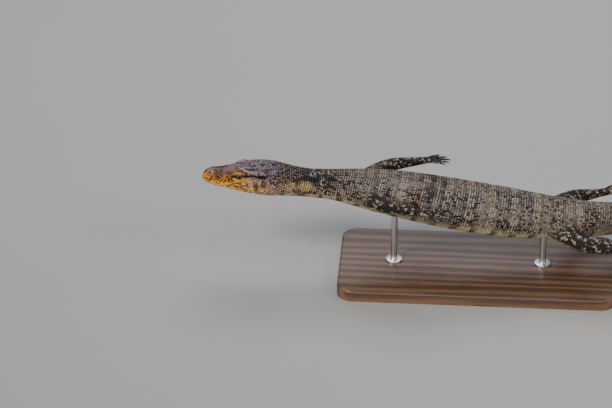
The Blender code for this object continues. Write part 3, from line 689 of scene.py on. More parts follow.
def walnutFinish():
    # oiled walnut with the grain along the base
    made = Finish("oiled_walnut", Coat_Weight=0.25, Coat_Roughness=0.2)
    where = made.place((1, 0.07, 1))
    warp = made.noise(where, 14.0, 4.0)
    rings = made.node("TexWave", {"wave_type": "BANDS", "bands_direction": "X", "wave_profile": "SIN"},
                      {"Vector": where, "Scale": 16.0, "Distortion": 7.0, "Detail": 3.0, "Detail Scale": 1.6})
    pores = made.noise(made.place((1, 0.03, 1)), 900.0, 2.0)
    colour = made.ramp(rings * 0.55 + warp * 0.45, (0.15, (0.034, 0.016, 0.008)),
                       (0.5, (0.085, 0.040, 0.019)), (0.85, (0.145, 0.075, 0.036)))
    isPore = made.ramp(pores, (0.56, (0, 0, 0)), (0.68, (0.7, 0.7, 0.7)))
    colour = made.mixed(isPore, colour, (0.018, 0.009, 0.005))
    return made.wear(Base_Color=colour, Roughness=0.34 + warp * 0.16, Normal=made.bump(pores, 0.00008))


def steelFinish():
    # brushed steel rods
    made = Finish("brushed_steel", Metallic=1.0)
    brush = made.noise(made.place((1, 1, 0.02)), 5200.0, 3.0)
    colour = made.mixed(made.noise(made.place(), 60.0, 3.0), (0.50, 0.50, 0.51), (0.62, 0.62, 0.62))
    return made.wear(Base_Color=colour, Roughness=0.22 + brush * 0.18, Normal=made.bump(brush, 0.00003))


# Making and measuring meshes
def addThing(name, data):
    thing = bpy.data.objects.new(name, data)
    bpy.context.scene.collection.objects.link(thing)
    return thing


def only(*things):
    # select these and nothing else, with the first one active
    bpy.ops.object.select_all(action="DESELECT")
    for thing in things:
        thing.select_set(True)
    if things:
        bpy.context.view_layer.objects.active = things[0]


def joined(things):
    only(*things)
    if len(things) > 1:
        bpy.ops.object.join()
    return things[0]


def edited(thing, *operations):
    # run operators on the whole mesh in edit mode
    only(thing)
    bpy.ops.object.mode_set(mode="EDIT")
    bpy.ops.mesh.select_all(action="SELECT")
    for operation, options in operations:
        operation(**options)
    bpy.ops.object.mode_set(mode="OBJECT")


def applyAll(thing):
    only(thing)
    for modifier in list(thing.modifiers):
        bpy.ops.object.modifier_apply(modifier=modifier.name)


def enter(thing, name, finish, slot, *nodes):
    # name a finished piece, give it its material, attach it to the root body and hide the CAD nodes it stands
    # for
    thing.name = thing.data.name = name
    thing.data.materials.clear()
    thing.data.materials.append(finish)
    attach(thing, "root")
    if nodes:
        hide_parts(*nodes)


def readArray(items, key, width, kind=np.float32):
    found = np.empty(len(items) * width, dtype=kind)
    items.foreach_get(key, found)
    return found.reshape(-1, width)


def vertexArray(thing):
    return readArray(thing.data.vertices, "co", 3).astype(float)


def normalArray(thing):
    return readArray(thing.data.vertex_normals, "vector", 3).astype(float)


def moveVertices(thing, points):
    thing.data.vertices.foreach_set("co", points.astype(np.float32).ravel())
    thing.data.update()


def writeColours(mesh, colours):
    full = np.ones((len(colours), 4), dtype=np.float32)
    full[:, :3] = colours
    mesh.attributes.new("marking", "FLOAT_COLOR", "POINT").data.foreach_set("color", full.ravel())


def writeValues(mesh, name, values):
    layer = mesh.attributes.new(name, "FLOAT", "POINT")
    layer.data.foreach_set("value", np.asarray(values, dtype=np.float32))


def neighbourSum(values, one, other):
    # for each vertex, the sum of a value over the other ends of its edges
    return np.bincount(one, values[other], len(values)) + np.bincount(other, values[one], len(values))


def surfaceTree(thing):
    faces = [tuple(face.vertices) for face in thing.data.polygons]
    return BVHTree.FromPolygons([tuple(point) for point in vertexArray(thing)], faces)


def pointTree(points):
    tree = KDTree(len(points))
    for index, point in enumerate(points):
        tree.insert(point, index)
    tree.balance()
    return tree


def copyMerged(names):
    # one object from copies of CAD nodes, with their loose triangles merged
    copies = []
    for name in names:
        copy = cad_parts[name].copy()
        copy.data = copy.data.copy()
        copy.hide_render = False
        bpy.context.scene.collection.objects.link(copy)
        copies.append(copy)
    copy = joined(copies)
    edited(copy, (bpy.ops.mesh.remove_doubles, {"threshold": 0.000001}))
    return copy


# Skin
skin = {
    "nodes": ["head", "lower_jaw", "neck", "torso", "tail_1", "tail_2", "tail_3", "tail_4", "tail_5"]
             + ["_".join(words) for words in product(("arm", "leg"), ("left", "right"), ("upper", "lower"))]
             + ["_".join(words) for words in product(("hand", "foot"), ("left", "right"))],
    "voxel": 0.00095,
    "depth": 0.0005,  # how far it lies inside the solids
    "probe": 0.004,
    "search": 0.0033,
    "smoothing": 7,
    "rootSmoothing": 40,
    "handReach": 0.046,
    "triangles": 118000,
}
eye = {
    "centre": (10.8, 57.2, 12.7),  # side, back, up on the head
    "radius": 7.0,
    "lid": 1.0,
    "stretch": 1.12,
    "bulge": 0.0006,
    "gaze": (1.0, 0.10, -0.05),  # side, back, up
    "halfLength": 7.6,
    "top": 2.9,  # heights of the opening over and under its middle line
    "bottom": 3.5,
    "foldTop": 8.2,  # the folds that end the lids, and how they drop to the corners
    "foldDrop": 0.07,
    "foldBottom": 7.4,
    "foldLift": 0.04,
}
mouth = {"line": {-6: 0.0, 12: -0.4, 30: 0.3, 48: -0.3, 64: -1.6, 80: -1.2}, "corner": 80}
nostril = {"centre": (10.6, 11.6, 9.3), "reach": (2.3, 1.5), "deep": 2.1}
ear = {"centre": (29.2, 95.5, 5.8), "reach": (3.5, 5.6), "tilt": 14, "deep": 1.3}


def eyeAxes(side):
    # centre of the eye, and its gaze, back and up directions in the world
    across, back, up = eye["centre"]
    point, sideways, backwards, upwards = axesOf(back)
    centre = point + (sideways * side * across + upwards * up) * 0.001
    g = eye["gaze"]
    gaze = unit(sideways * side * g[0] + backwards * g[1] + upwards * g[2])
    rear = unit(backwards - gaze * np.dot(backwards, gaze))
    return centre, gaze, rear, np.cross(gaze, rear) * side


def eyePlace(points, side):
    # radius from the eye's centre, and place along and over its opening, in millimetres on the ball
    centre, gaze, rear, up = eyeAxes(side)
    away = (points - centre) * 1000
    out, along, over = away @ gaze, away @ rear, away @ up
    radius = np.maximum(np.linalg.norm(away, axis=1), 0.01)
    size = eye["radius"] + eye["lid"]
    along, over = (np.where(out > 0, np.arctan2(value, out), 9) * size for value in (along, over))
    return radius, along, over


def openingEdges(along):
    # heights of the two lid edges over the middle line
    share = np.clip(np.abs(along) / eye["halfLength"], 0, 1)
    return eye["top"] * (1 - share ** 2.2), -eye["bottom"] * (1 - share ** 1.25)


def onHead(points, beyond=0):
    return points[:, 1] < axesAt(body["headEnd"] + beyond)[0][0, 1]


def headPlace(points):
    # place on the head, both sides alike, height over the mouth, and shares of the way out of ear and nostril
    point, side, back, up = axesOf(0)
    along, across, rise = bodyPlace(points)
    straight = (points - point) @ back * 1000  # also in front of the spine's first point
    along, across = np.where(along < 1, straight, along), np.abs(across)
    overMouth = (points - point) @ up * 1000 - curveAt(mouth["line"], straight)
    tilt = math.radians(ear["tilt"])
    earBack, earUp = along - ear["centre"][1], rise - ear["centre"][2]
    drum = np.hypot((earBack * math.cos(tilt) + earUp * math.sin(tilt)) / ear["reach"][0],
                    (earUp * math.cos(tilt) - earBack * math.sin(tilt)) / ear["reach"][1])
    noseBack, noseUp = along - nostril["centre"][1], rise - nostril["centre"][2]
    nose = np.hypot(noseBack / nostril["reach"][0], noseUp / nostril["reach"][1])
    return SimpleNamespace(side=across, back=along, up=rise, overMouth=overMouth, drum=drum, nose=nose)


def rootWeights(points):
    # 1 where a limb grows out of the body
    weight = np.zeros(len(points))
    for name, shape in limbLines.items():
        root = shape["line"][np.searchsorted(shape["at"], 17 if name.startswith("arm") else 24)]
        weight = np.maximum(weight, step(30, 16, np.linalg.norm(points - root, axis=1) * 1000))
    return weight


def fitToSolids(thing, solids):
    # bring the smoothed skin back to its depth under the solids, but not over
    # the eyes, nostrils, ears and limb roots
    points, normals = vertexArray(thing), normalArray(thing)
    depth, probe = skin["depth"], skin["probe"]
    move = np.full(len(points), -depth)
    for index, (point, normal) in enumerate(zip(points + normals * probe, normals)):
        place, facing, _, distance = solids.ray_cast(Vector(point), Vector(-normal), 2 * probe)
        if place is not None and abs(distance - probe) < skin["search"] and facing.dot(Vector(normal)) > 0.35:
            move[index] = probe - distance - depth
    head = headPlace(points)
    free = 1 - rootWeights(points)
    for side in sides:
        free *= step(9.5, 11.5, np.linalg.norm(points - eyeAxes(side)[0], axis=1) * 1000)
    for (across, back, up), near, far in ((nostril["centre"], 3.5, 5.5), (ear["centre"], 6.5, 9.0)):
        away = np.sqrt((head.side - across) ** 2 + (head.back - back) ** 2 + (head.up - up) ** 2)
        free *= step(near, far, away)
    move = -depth + (move + depth) * free
    one, other = readArray(thing.data.edges, "vertices", 2, np.int32).T
    degree = np.maximum(neighbourSum(np.ones(len(points)), one, other), 1)
    isFine = onHead(points) | (np.abs(bodyPlace(points)[1]) > 60)
    for turn in range(14):
        even = move + 0.5 * (neighbourSum(move, one, other) / degree - move)
        move = np.where(isFine & (turn > 2), move, even)
    moveVertices(thing, points + normals * move[:, None])


def smoothed(thing, rounds, group=""):
    smooth = thing.modifiers.new("smooth", "SMOOTH")
    smooth.factor, smooth.iterations, smooth.vertex_group = 0.5, rounds, group


def makeSkin():
    thing = copyMerged(skin["nodes"])
    solids = surfaceTree(thing)
    parts = [thing]
    for side in sides:  # the lids are cut again later, finer than the remesh could keep them
        bpy.ops.mesh.primitive_uv_sphere_add(segments=32, ring_count=20, location=eyeAxes(side)[0],
                                             radius=(eye["radius"] + eye["lid"]) / 1000)
        bpy.context.active_object.scale = (1, eye["stretch"], 1)
        parts.append(bpy.context.active_object)
    joined(parts)
    remesh = thing.modifiers.new("remesh", "REMESH")
    remesh.mode, remesh.voxel_size, remesh.adaptivity = "VOXEL", skin["voxel"], 0
    applyAll(thing)
    print("stage: remeshed to", len(thing.data.polygons), "faces")
    points = vertexArray(thing)
    fine = onHead(points, 4)
    for shape in limbLines.values():
        hand = shape["line"][shape["at"] > shape["wrist"] - 4]
        fine |= np.linalg.norm(points - hand[len(hand) // 2], axis=1) < skin["handReach"]
    thing.vertex_groups.new(name="fine").add(np.nonzero(fine)[0].tolist(), 1.0, "REPLACE")
    roots, weights = thing.vertex_groups.new(name="roots"), rootWeights(points)
    for level in (0.25, 0.5, 0.75, 1.0):
        roots.add(np.nonzero((weights > level - 0.25) & (weights <= level))[0].tolist(), level, "REPLACE")
    smoothed(thing, skin["smoothing"])
    smoothed(thing, skin["rootSmoothing"], "roots")
    applyAll(thing)
    decimate = thing.modifiers.new("decimate", "DECIMATE")
    decimate.ratio = skin["triangles"] / (2 * len(thing.data.polygons))
    decimate.vertex_group, decimate.invert_vertex_group, decimate.vertex_group_factor = "fine", True, 6.0
    applyAll(thing)
    thing.vertex_groups.clear()
    fitToSolids(thing, solids)
    print("stage: skin fitted,", len(thing.data.polygons), "faces")
    return thing


def subdivideNear(thing, picked):
    # cut each edge that touches the picked vertices in two
    shape = bmesh.new()
    shape.from_mesh(thing.data)
    shape.verts.ensure_lookup_table()
    edges = [edge for edge in shape.edges if any(picked[vertex.index] for vertex in edge.verts)]
    bmesh.ops.subdivide_edges(shape, edges=edges, cuts=1, use_grid_fill=True)
    bmesh.ops.triangulate(shape, faces=[face for face in shape.faces if len(face.verts) > 4])
    shape.to_mesh(thing.data)
    shape.free()


def cupZones(points, earReach, noseReach):
    # the skin round the ears and the nostrils
    head = headPlace(points)
    return onHead(points) & (((head.side > 18) & (head.drum < earReach))
                             | ((head.side > 5) & (head.back < 25) & (head.nose < noseReach)))


def eyeZone(points, reach, half, low, high):
    zone = np.zeros(len(points), dtype=bool)
    for side in sides:
        radius, along, over = eyePlace(points, side)
        zone |= (radius < reach) & (np.abs(along) < half) & (over > low) & (over < high)
    return zone


def relax(thing, chosen, rounds):
    # smooth the picked vertices into an even sheet
    points = vertexArray(thing)
    one, other = readArray(thing.data.edges, "vertices", 2, np.int32).T
    used = chosen[one] | chosen[other]
    one, other = one[used], other[used]
    degree = np.maximum(neighbourSum(np.ones(len(points)), one, other), 1)
    for _ in range(rounds):
        for k in range(3):
            points[:, k] = np.where(chosen, neighbourSum(points[:, k], one, other) / degree, points[:, k])
    moveVertices(thing, points)


def headRelief(points):
    # how far the skin of the head rises or sinks, in millimetres
    place = headPlace(points)
    over, nose, drum = place.overMouth, place.nose, place.drum
    along, height, line = headFace(place.side, place.back, place.up)
    # lips either side of the mouth line, and its corner
    push = step(mouth["corner"] + 3, mouth["corner"] - 3, place.back) \
        * (-1.25 * hill(over, 0, 0.55) + 0.42 * hill(over, 1.9, 1.1) + 0.30 * hill(over, -1.8, 1.0))
    corner = np.hypot(place.back - mouth["corner"] - 1, over * 1.2)
    push += 0.45 * hill(corner, 3.4, 1.4) - 0.7 * hill(corner, 0, 1.6)
    # nostrils, ears
    push += step(5.0, 7.5, place.side) * (place.back < 30) \
        * (-nostril["deep"] * step(1.15, 0.7, nose) + 0.3 * hill(nose, 1.6, 0.4))
    push += step(15, 20, place.side) * (-ear["deep"] * step(1.05, 0.72, drum) + 0.35 * hill(drum, 1.25, 0.2))
    # groove over the temple, the ridge under it, the hollow of the dark stripe, and the brow
    for start, end, rise, middle, reach in (
            (66, 86, -0.7, line.groove, 1.0), (71, 97, 0.55, (line.ridgeTop + line.stripeTop) / 2, 2.2),
            (68, 97, -0.6, (line.stripeTop + line.stripeBottom) / 2, 1.2), (55, 72, 0.4, line.browLine, 1.6)):
        push += band(along, start, end, 3) * rise * hill(height, middle, reach)
    return push * onHead(points, 20)


def foldRelief(points):
    # folds of the loose skin behind the jaw, before the shoulder and on the flank, in millimetres
    along, side, up = bodyPlace(points)
    turn = np.degrees(np.abs(np.arctan2(side, up)))
    push = 0.55 * np.sin(along / 2.35 + 0.05 * turn) * step(195, 212, along) * step(252, 236, along) \
        * step(50, 80, turn)
    push += -0.8 * hill(along + 0.10 * (turn - 90), 221, 3.0) * step(70, 100, turn)
    push += 0.35 * np.sin(along / 2.8 + 0.9 * np.sin(turn / 20)) * step(112, 122, along) \
        * step(150, 138, along) * step(75, 100, turn)
    flank, waving = step(300, 330, along) * step(520, 480, along), turn + 4 * np.sin(along / 19)
    return push + flank * (0.5 * hill(waving, 91, 5) - 0.8 * hill(waving, 101, 5))


def carveHead(thing):
    relax(thing, cupZones(vertexArray(thing), 1.25, 2.0), 120)
    points = vertexArray(thing)
    subdivideNear(thing, cupZones(points, 1.7, 2.6) | eyeZone(points, 12.5, 11, -9.8, 9.8))
    points = vertexArray(thing)
    place = headPlace(points)
    lips = (np.abs(place.overMouth) < 2.2) & (place.back > -3) & (place.back < mouth["corner"] + 4) \
        & (points[:, 1] < axesAt(90)[0][0, 1])
    subdivideNear(thing, cupZones(points, 1.7, 2.6) | eyeZone(points, 11.5, 9.2, -5.6, 9.2) | lips)
    points = vertexArray(thing)
    points = points + normalArray(thing) * (headRelief(points) + foldRelief(points))[:, None] * 0.001
    for side in sides:  # lids and the opening between them
        centre = eyeAxes(side)[0]
        radius, along, over = eyePlace(points, side)
        top, bottom = openingEdges(along)
        reach, half = radius < 13, np.abs(along)
        inside = reach & (over < top) & (over > bottom) & (half < eye["halfLength"])
        edge = np.where(over > 0, over - top, bottom - over)
        rim = reach & ~inside & (half < eye["halfLength"] + 1)
        size = radius + np.where(rim, 0.45 * hill(edge, 0.3, 0.8), 0)
        foldTop = hill(over, eye["foldTop"] - eye["foldDrop"] * along ** 2, 1.0) * step(10.5, 8.0, half)
        foldBottom = hill(over, -eye["foldBottom"] + eye["foldLift"] * along ** 2, 0.9) * step(9.5, 7.0, half)
        size = np.where(inside, eye["radius"] - 0.9, size - (0.5 * foldTop + 0.4 * foldBottom) * reach)
        points = np.where(reach[:, None], centre + unit(points - centre) * size[:, None] * 0.001, points)
    moveVertices(thing, points)
    print("stage: head carved,", len(thing.data.polygons), "faces")


def paintSkin(thing):
    # the hide between the scales is darker than the scales, except on the lids and in the folds; painted
    # shade makes the eye openings and the nostrils black
    points = vertexArray(thing)
    places = placesOf(points)
    shade = np.where(places.limb >= 0, 0.4, 0.45)
    # painted shade: black over the skin inside each eye opening, round the ball, fading just past its ends
    black = np.zeros(len(points))
    for side in sides:
        radius, along, over = eyePlace(points, side)
        top, bottom = openingEdges(along)
        near = (radius < 10.5) & (np.abs(along) < 9.5)
        shade = np.where(near & (over < 8.2) & (over > -7.5), 0.6, shade)
        fade = step(eye["halfLength"] + 1.8, eye["halfLength"] + 0.2, np.abs(along))
        black = np.maximum(black, near * fade * step(top + 0.7, top + 0.2, over)
                           * step(bottom - 1.3, bottom - 0.7, over))
    colours = markings(places, np.tile(hideDraw, (len(points), 1))) * shade[:, None]
    head, isHead = headPlace(points), onHead(points)
    drumMask = isHead * (head.side > 16) * step(1.1, 0.9, head.drum)
    noseMask = isHead * (head.side > 5) * (head.back < 25)
    dye = dyeing(colours)
    dye("ear", drumMask)
    dye("mauve", drumMask * hill(head.drum, 0, 0.55) * 0.4)
    dye("pink", noseMask * band(head.nose, 1.0, 1.7, 0.2) * 0.7)
    # painted shade: black inside the nostril
    dye("black", noseMask * step(1.1, 0.8, head.nose))
    dye("rust", isHead * step(1.0, 0.4, np.abs(head.overMouth)) * (head.back < mouth["corner"]) * 0.85)
    # painted shade inside the eye openings
    dye("black", black)
    writeColours(thing.data, np.clip(colours, 0.003, 1))
    writeValues(thing.data, "rise", np.ones(len(points)))
    only(thing)
    bpy.ops.object.shade_smooth()
    print("stage: skin painted")


bodySkin = makeSkin()
carveHead(bodySkin)
paintSkin(bodySkin)
skinTree = surfaceTree(bodySkin)

# Scales
coat = {
    "rowStep": {118: 3.2, 222: 3.6, 420: 3.9, 600: 3.9, 900: 3.7, 1300: 3.1, 1550: 2.2},
    "backWidth": {118: 2.8, 222: 3.0, 420: 3.2, 700: 3.0, 1300: 2.4, 1550: 1.8},
    "bellyWidth": {118: 3.0, 222: 3.5, 600: 3.7, 800: 3.1, 1300: 2.4, 1550: 1.8},
    "flank": (95, 118),  # degrees from the top where the back's widths give way to the belly's
    "lean": 7.0,  # how far a row runs back from the belly to the spine
    "loose": 0.30,
    "limbStep": 2.8, "limbWidth": 2.2, "limbGap": 1.75,
    "lipSize": (2.7, 2.1), "browSize": (2.7, 5.4),
    "samples": 300000,
    "share": {"head": 3.5, "body": 0.25, "root": 1.5, "hand": 6.0},  # how densely the small scales are tried
    "gap": {"body": 3.3, "limb": 1.85, "palm": 1.45, "toes": 1.2, "head": 1.95, "lid": 1.12, "nose": 1.3},
    "toesFrom": (15, 27),  # beyond the wrist, on hands and feet
    "high": {"body": 0.50, "head": 0.30, "fine": 0.22, "limb": 0.38},
    "sides": {"head": 14, "body": 10},
    "sunk": 0.25,
    "shoulder": 0.85,
    "shoulderShade": 0.72,
    "patch": 0.0015,  # half the size of a scale on the map
}
row, plate, small = range(3)  # kinds of scales
pieceSpans = {"head_scales": (0, 122), "neck_scales": (118, 222), "trunk_front_scales": (222, 400),
              "trunk_rear_scales": (400, 600), "tail_base_scales": (600, 830),
              "tail_middle_scales": (830, 1110), "tail_tip_scales": (1110, 1551)}


def hit(origin, direction, reach):
    # where a ray from inside meets the skin: place, normal and distance
    place, normal, _, distance = skinTree.ray_cast(Vector(origin), Vector(direction), reach)
    return place, normal, distance


def bodyRows():
    # transverse rows of scales round the neck, trunk and tail
    found = []
    rowLuck = np.random.default_rng(53)
    theta = np.linspace(-math.pi, math.pi, 361)
    middle = np.degrees(np.abs(theta[1:] + theta[:-1]) / 2)
    along, number = body["headEnd"] + 1.5, 0
    while along < body["tailEnd"] - 2:
        radius = bodyRadius(np.full(361, along), theta)
        gone = np.hypot(np.diff(radius * np.sin(theta)), np.diff(radius * np.cos(theta)))
        sizes = (curveAt(coat[name], along)[0] for name in ("rowStep", "backWidth", "bellyWidth"))
        spacing, back, belly = sizes
        widths = back + (belly - back) * step(*coat["flank"], middle)
        total = np.concatenate([[0], np.cumsum(gone / widths)])
        count = max(6, round(total[-1]))
        turns = np.interp((np.arange(count) + 0.5 * (number % 2)) * total[-1] / count, total, theta)
        loose = rowLuck.uniform(-1, 1, (2, count)) * step(1540, 1300, along)
        leaning = coat["lean"] * step(118, 190, along) * step(1200, 900, along)
        places = along + leaning * np.cos(turns) * 0.5 + loose[0] * coat["loose"]
        turns = turns + loose[1] * coat["loose"] / bodyRadius(np.full(count, along), turns)
        for turn, reach, point, side, _, up in zip(turns, bodyRadius(places, turns), *axesAt(places)):
            for nudge in (0, 0.004, -0.004):  # a ray can slip between two faces
                direction = side * math.sin(turn + nudge) + up * math.cos(turn + nudge)
                place, normal, distance = hit(point, direction, 0.08)
                if place is not None:
                    break
            if place is not None and abs(distance * 1000 - reach) <= 2.9:
                width = np.interp(math.degrees(abs(turn)), coat["flank"], (back, belly))
                found.append((*place, *normal, spacing, width, row))
        along += spacing
        number += 1
    return np.array(found)


def limbRows():
    found = []
    for shape in limbLines.values():
        at, number = 8.0, 0
        while at < shape["wrist"] + 2:
            index = np.searchsorted(shape["at"], at)
            point, ahead = shape["line"][index], shape["ahead"][index]
            across = unit(np.cross(ahead, (0, 0, 1)))
            up = np.cross(across, ahead)
            half, height = smoothCurve(shape["girth"], at)[0]
            count = max(8, round(math.pi * (half + height) / coat["limbWidth"]))
            for turn in (np.arange(count) + 0.5 * (number % 2)) * 2 * math.pi / count:
                direction = across * math.sin(turn) + up * math.cos(turn)
                reach = 1 / math.hypot(math.sin(turn) / half, math.cos(turn) / height)
                place, normal, distance = hit(point, direction, 0.05)
                if place is not None and reach - 3 < distance * 1000 < reach + 5 \
                        and normal.dot(Vector(direction)) >= 0.5:
                    found.append((*place, *normal, coat["limbStep"], coat["limbWidth"], row))
            at += coat["limbStep"]
            number += 1
    return np.array(found)


def facePlates():
    # one row of squarer plates along each lip, round the snout, and wider plates over each eye
    rays = []
    point, side, back, up = axesOf(0)
    for over, sign in product((1.9, -1.75), sides):
        stops = [(12.0, math.radians(turn)) for turn in np.arange(6, 84, 12.5)]
        stops += [(run, math.pi / 2) for run in np.arange(12.5, mouth["corner"] - 1, 2.65)]
        for run, turn in stops:
            height = curveAt(mouth["line"], run - (12 * math.cos(turn)))[0] + over
            origin = point + (back * run + up * height) * 0.001
            rays.append((origin, side * sign * math.sin(turn) - back * math.cos(turn), coat["lipSize"]))
    for sign, run in product(sides, np.arange(46, 73, 2.9)):
        across = 9.6 + 0.9 * math.sin((run - 46) / 27 * math.pi)
        rays.append((point + (back * run + side * sign * across + up * 45) * 0.001, -up, coat["browSize"]))
    hits = [(*hit(origin, direction, 0.06), size) for origin, direction, size in rays]
    return np.array([(*place, *normal, *size, plate) for place, normal, _, size in hits if place is not None])


def bareSkin(points):
    # where no scale grows: between the lids, in the mouth, nostrils and ears
    bare = np.zeros(len(points), dtype=bool)
    for side in sides:
        radius, along, over = eyePlace(points, side)
        top, bottom = openingEdges(along)
        bare |= (radius < 10) & (over < top + 1.5) & (over > bottom - 1.5) \
            & (np.abs(along) < eye["halfLength"] + 1.0)
    head = headPlace(points)
    inMouth = (np.abs(head.overMouth) < 0.75) & (head.back < mouth["corner"])
    inNose, inEar = (head.nose < 1.5) & (head.side > 5), (head.side > 15) & (head.drum < 1.15)
    return bare | onHead(points) & (inMouth | inNose | inEar)


def gapOf(points, places):
    # how far apart the smaller scales grow, in millimetres
    gap = coat["gap"]
    isLimb = places.limb >= 0
    isHead = (places.along < body["headEnd"] + 3) & ~isLimb
    beyond = places.t - wrists[places.limb]
    found = np.where(isLimb, gap["limb"], gap["body"])
    found = np.where(isLimb & (beyond > 0), gap["palm"], found)
    found = np.where(isLimb & (beyond > np.where(places.limb < 2, *coat["toesFrom"])), gap["toes"], found)
    side, up, back = np.abs(places.side), places.up, places.along
    headGap = gap["head"] + 0.65 * step(8, 18, up) * step(40, 66, back) - 0.15 * step(30, 10, back) \
        + 0.25 * step(-8, -14, up)
    found = np.where(isHead, headGap, found)
    found = np.where(eyeZone(points, 11, 10, -6.5, 6.5), gap["lid"], found)
    nose = np.hypot(back - nostril["centre"][1], up - nostril["centre"][2])
    return np.where(isHead & (side > 5) & (nose < 5), gap["nose"], found)


def surfaceSamples(thing, count):
    # random places on the skin, closer together on the head, hands and feet
    thing.data.calc_loop_triangles()
    corners = vertexArray(thing)[readArray(thing.data.loop_triangles, "vertices", 3, np.int32)]
    area = np.linalg.norm(np.cross(corners[:, 1] - corners[:, 0], corners[:, 2] - corners[:, 0]), axis=1)
    middle = corners.mean(1)
    share = np.where(onHead(middle), coat["share"]["head"], coat["share"]["body"])
    share = np.maximum(share, coat["share"]["root"] * (rootWeights(middle) > 0))
    for shape in limbLines.values():
        for point in shape["line"][shape["at"] > shape["wrist"] - 6][::4]:
            share = np.where(np.linalg.norm(middle - point, axis=1) < 0.024, coat["share"]["hand"], share)
    share = share * area
    chosen = corners[luck.choice(len(corners), count, p=share / share.sum())]
    a, b = luck.random((2, count))
    flip = a + b > 1
    a, b = np.where(flip, 1 - a, a), np.where(flip, 1 - b, b)
    return chosen[:, 0] + a[:, None] * (chosen[:, 1] - chosen[:, 0]) \
        + b[:, None] * (chosen[:, 2] - chosen[:, 0])


def thinned(points, gaps, taken):
    # greedy choice of points no nearer than their gap to the taken ones or to each other
    tree = pointTree(taken)
    free = np.array([tree.find(point)[2] for point in points]) * 1000 > gaps * 0.87
    cell, cells, chosen = 0.0026, {}, []
    around = list(product((-1, 0, 1), repeat=3))
    for index in np.nonzero(free)[0]:
        x, y, z = points[index]
        i, j, k = int(x // cell), int(y // cell), int(z // cell)
        limit = (gaps[index] * 0.001) ** 2
        near = (other for a, b, c in around for other in cells.get((i + a, j + b, k + c), ()))
        if not any((u - x) ** 2 + (v - y) ** 2 + (w - z) ** 2 < limit for u, v, w in near):
            cells.setdefault((i, j, k), []).append((x, y, z))
            chosen.append(index)
    return np.array(chosen), free


def growCoat():
    # roots: place, normal, length, width and kind of every scale
    rows = bodyRows()
    rows = rows[~bareSkin(rows[:, :3])]
    print("stage: body rows,", len(rows), "scales")
    arms = limbRows()
    taken = np.vstack([rows, facePlates()])
    arms = arms[placesOf(arms[:, :3]).outside > 0.9]
    kept, _ = thinned(arms[:, :3], np.full(len(arms), coat["limbGap"]), taken[:, :3])
    taken = np.vstack([taken, arms[kept]])
    print("stage: limb rows,", len(kept), "scales")
    samples = surfaceSamples(bodySkin, coat["samples"])
    samples = samples[~bareSkin(samples)]
    gaps = gapOf(samples, placesOf(samples))
    chosen, free = thinned(samples, gaps, taken[:, :3])
    fill, cloud = samples[chosen].copy(), samples[free]
    for _ in range(2):  # each small scale moves to the middle of the room round it
        tree = pointTree(np.vstack([fill, taken[:, :3]]))
        owner = np.array([tree.find(point)[1] for point in cloud])
        mine = owner < len(fill)
        number = np.bincount(owner[mine], minlength=len(fill))
        total = np.stack([np.bincount(owner[mine], cloud[mine, k], minlength=len(fill)) for k in range(3)], 1)
        middle = np.where(number[:, None] > 2, total / np.maximum(number, 1)[:, None], fill)
        fill = fill + (middle - fill) * 0.8
    settled = []
    for point, gap in zip(fill, gaps[chosen]):
        place, normal, _, _ = skinTree.find_nearest(Vector(point))
        settled.append((*place, *normal, gap * 1.08, gap * 0.98, small))
    print("stage: filled with", len(settled), "small scales")
    return np.vstack([taken, np.array(settled)])


def outlines(scales, count):
    # radius of each scale in a few directions: an oval cut back to half way to its neighbours
    roots, half = scales["roots"], scales["half"]
    tree = pointTree(roots)
    near = np.array([[found[1] for found in tree.find_n(point, 9)][1:] for point in roots])
    away = (roots[near] - roots[:, None, :]) * 1000
    u, v = ((away * scales[name][:, None, :]).sum(2) for name in ("ahead", "across"))
    far = u ** 2 + v ** 2
    reach = np.empty((len(roots), count))
    for k in range(count):
        turn = 2 * math.pi * (k + 0.5) / count
        c, s = math.cos(turn), math.sin(turn)
        towards = u * c + v * s
        room = np.where(towards > 1e-6, far / (2 * np.maximum(towards, 1e-6)), 9).min(1)
        reach[:, k] = np.minimum(room * 0.95, 1 / np.hypot(c / half[:, 0], s / half[:, 1]))
    return np.maximum(reach, 0.22)


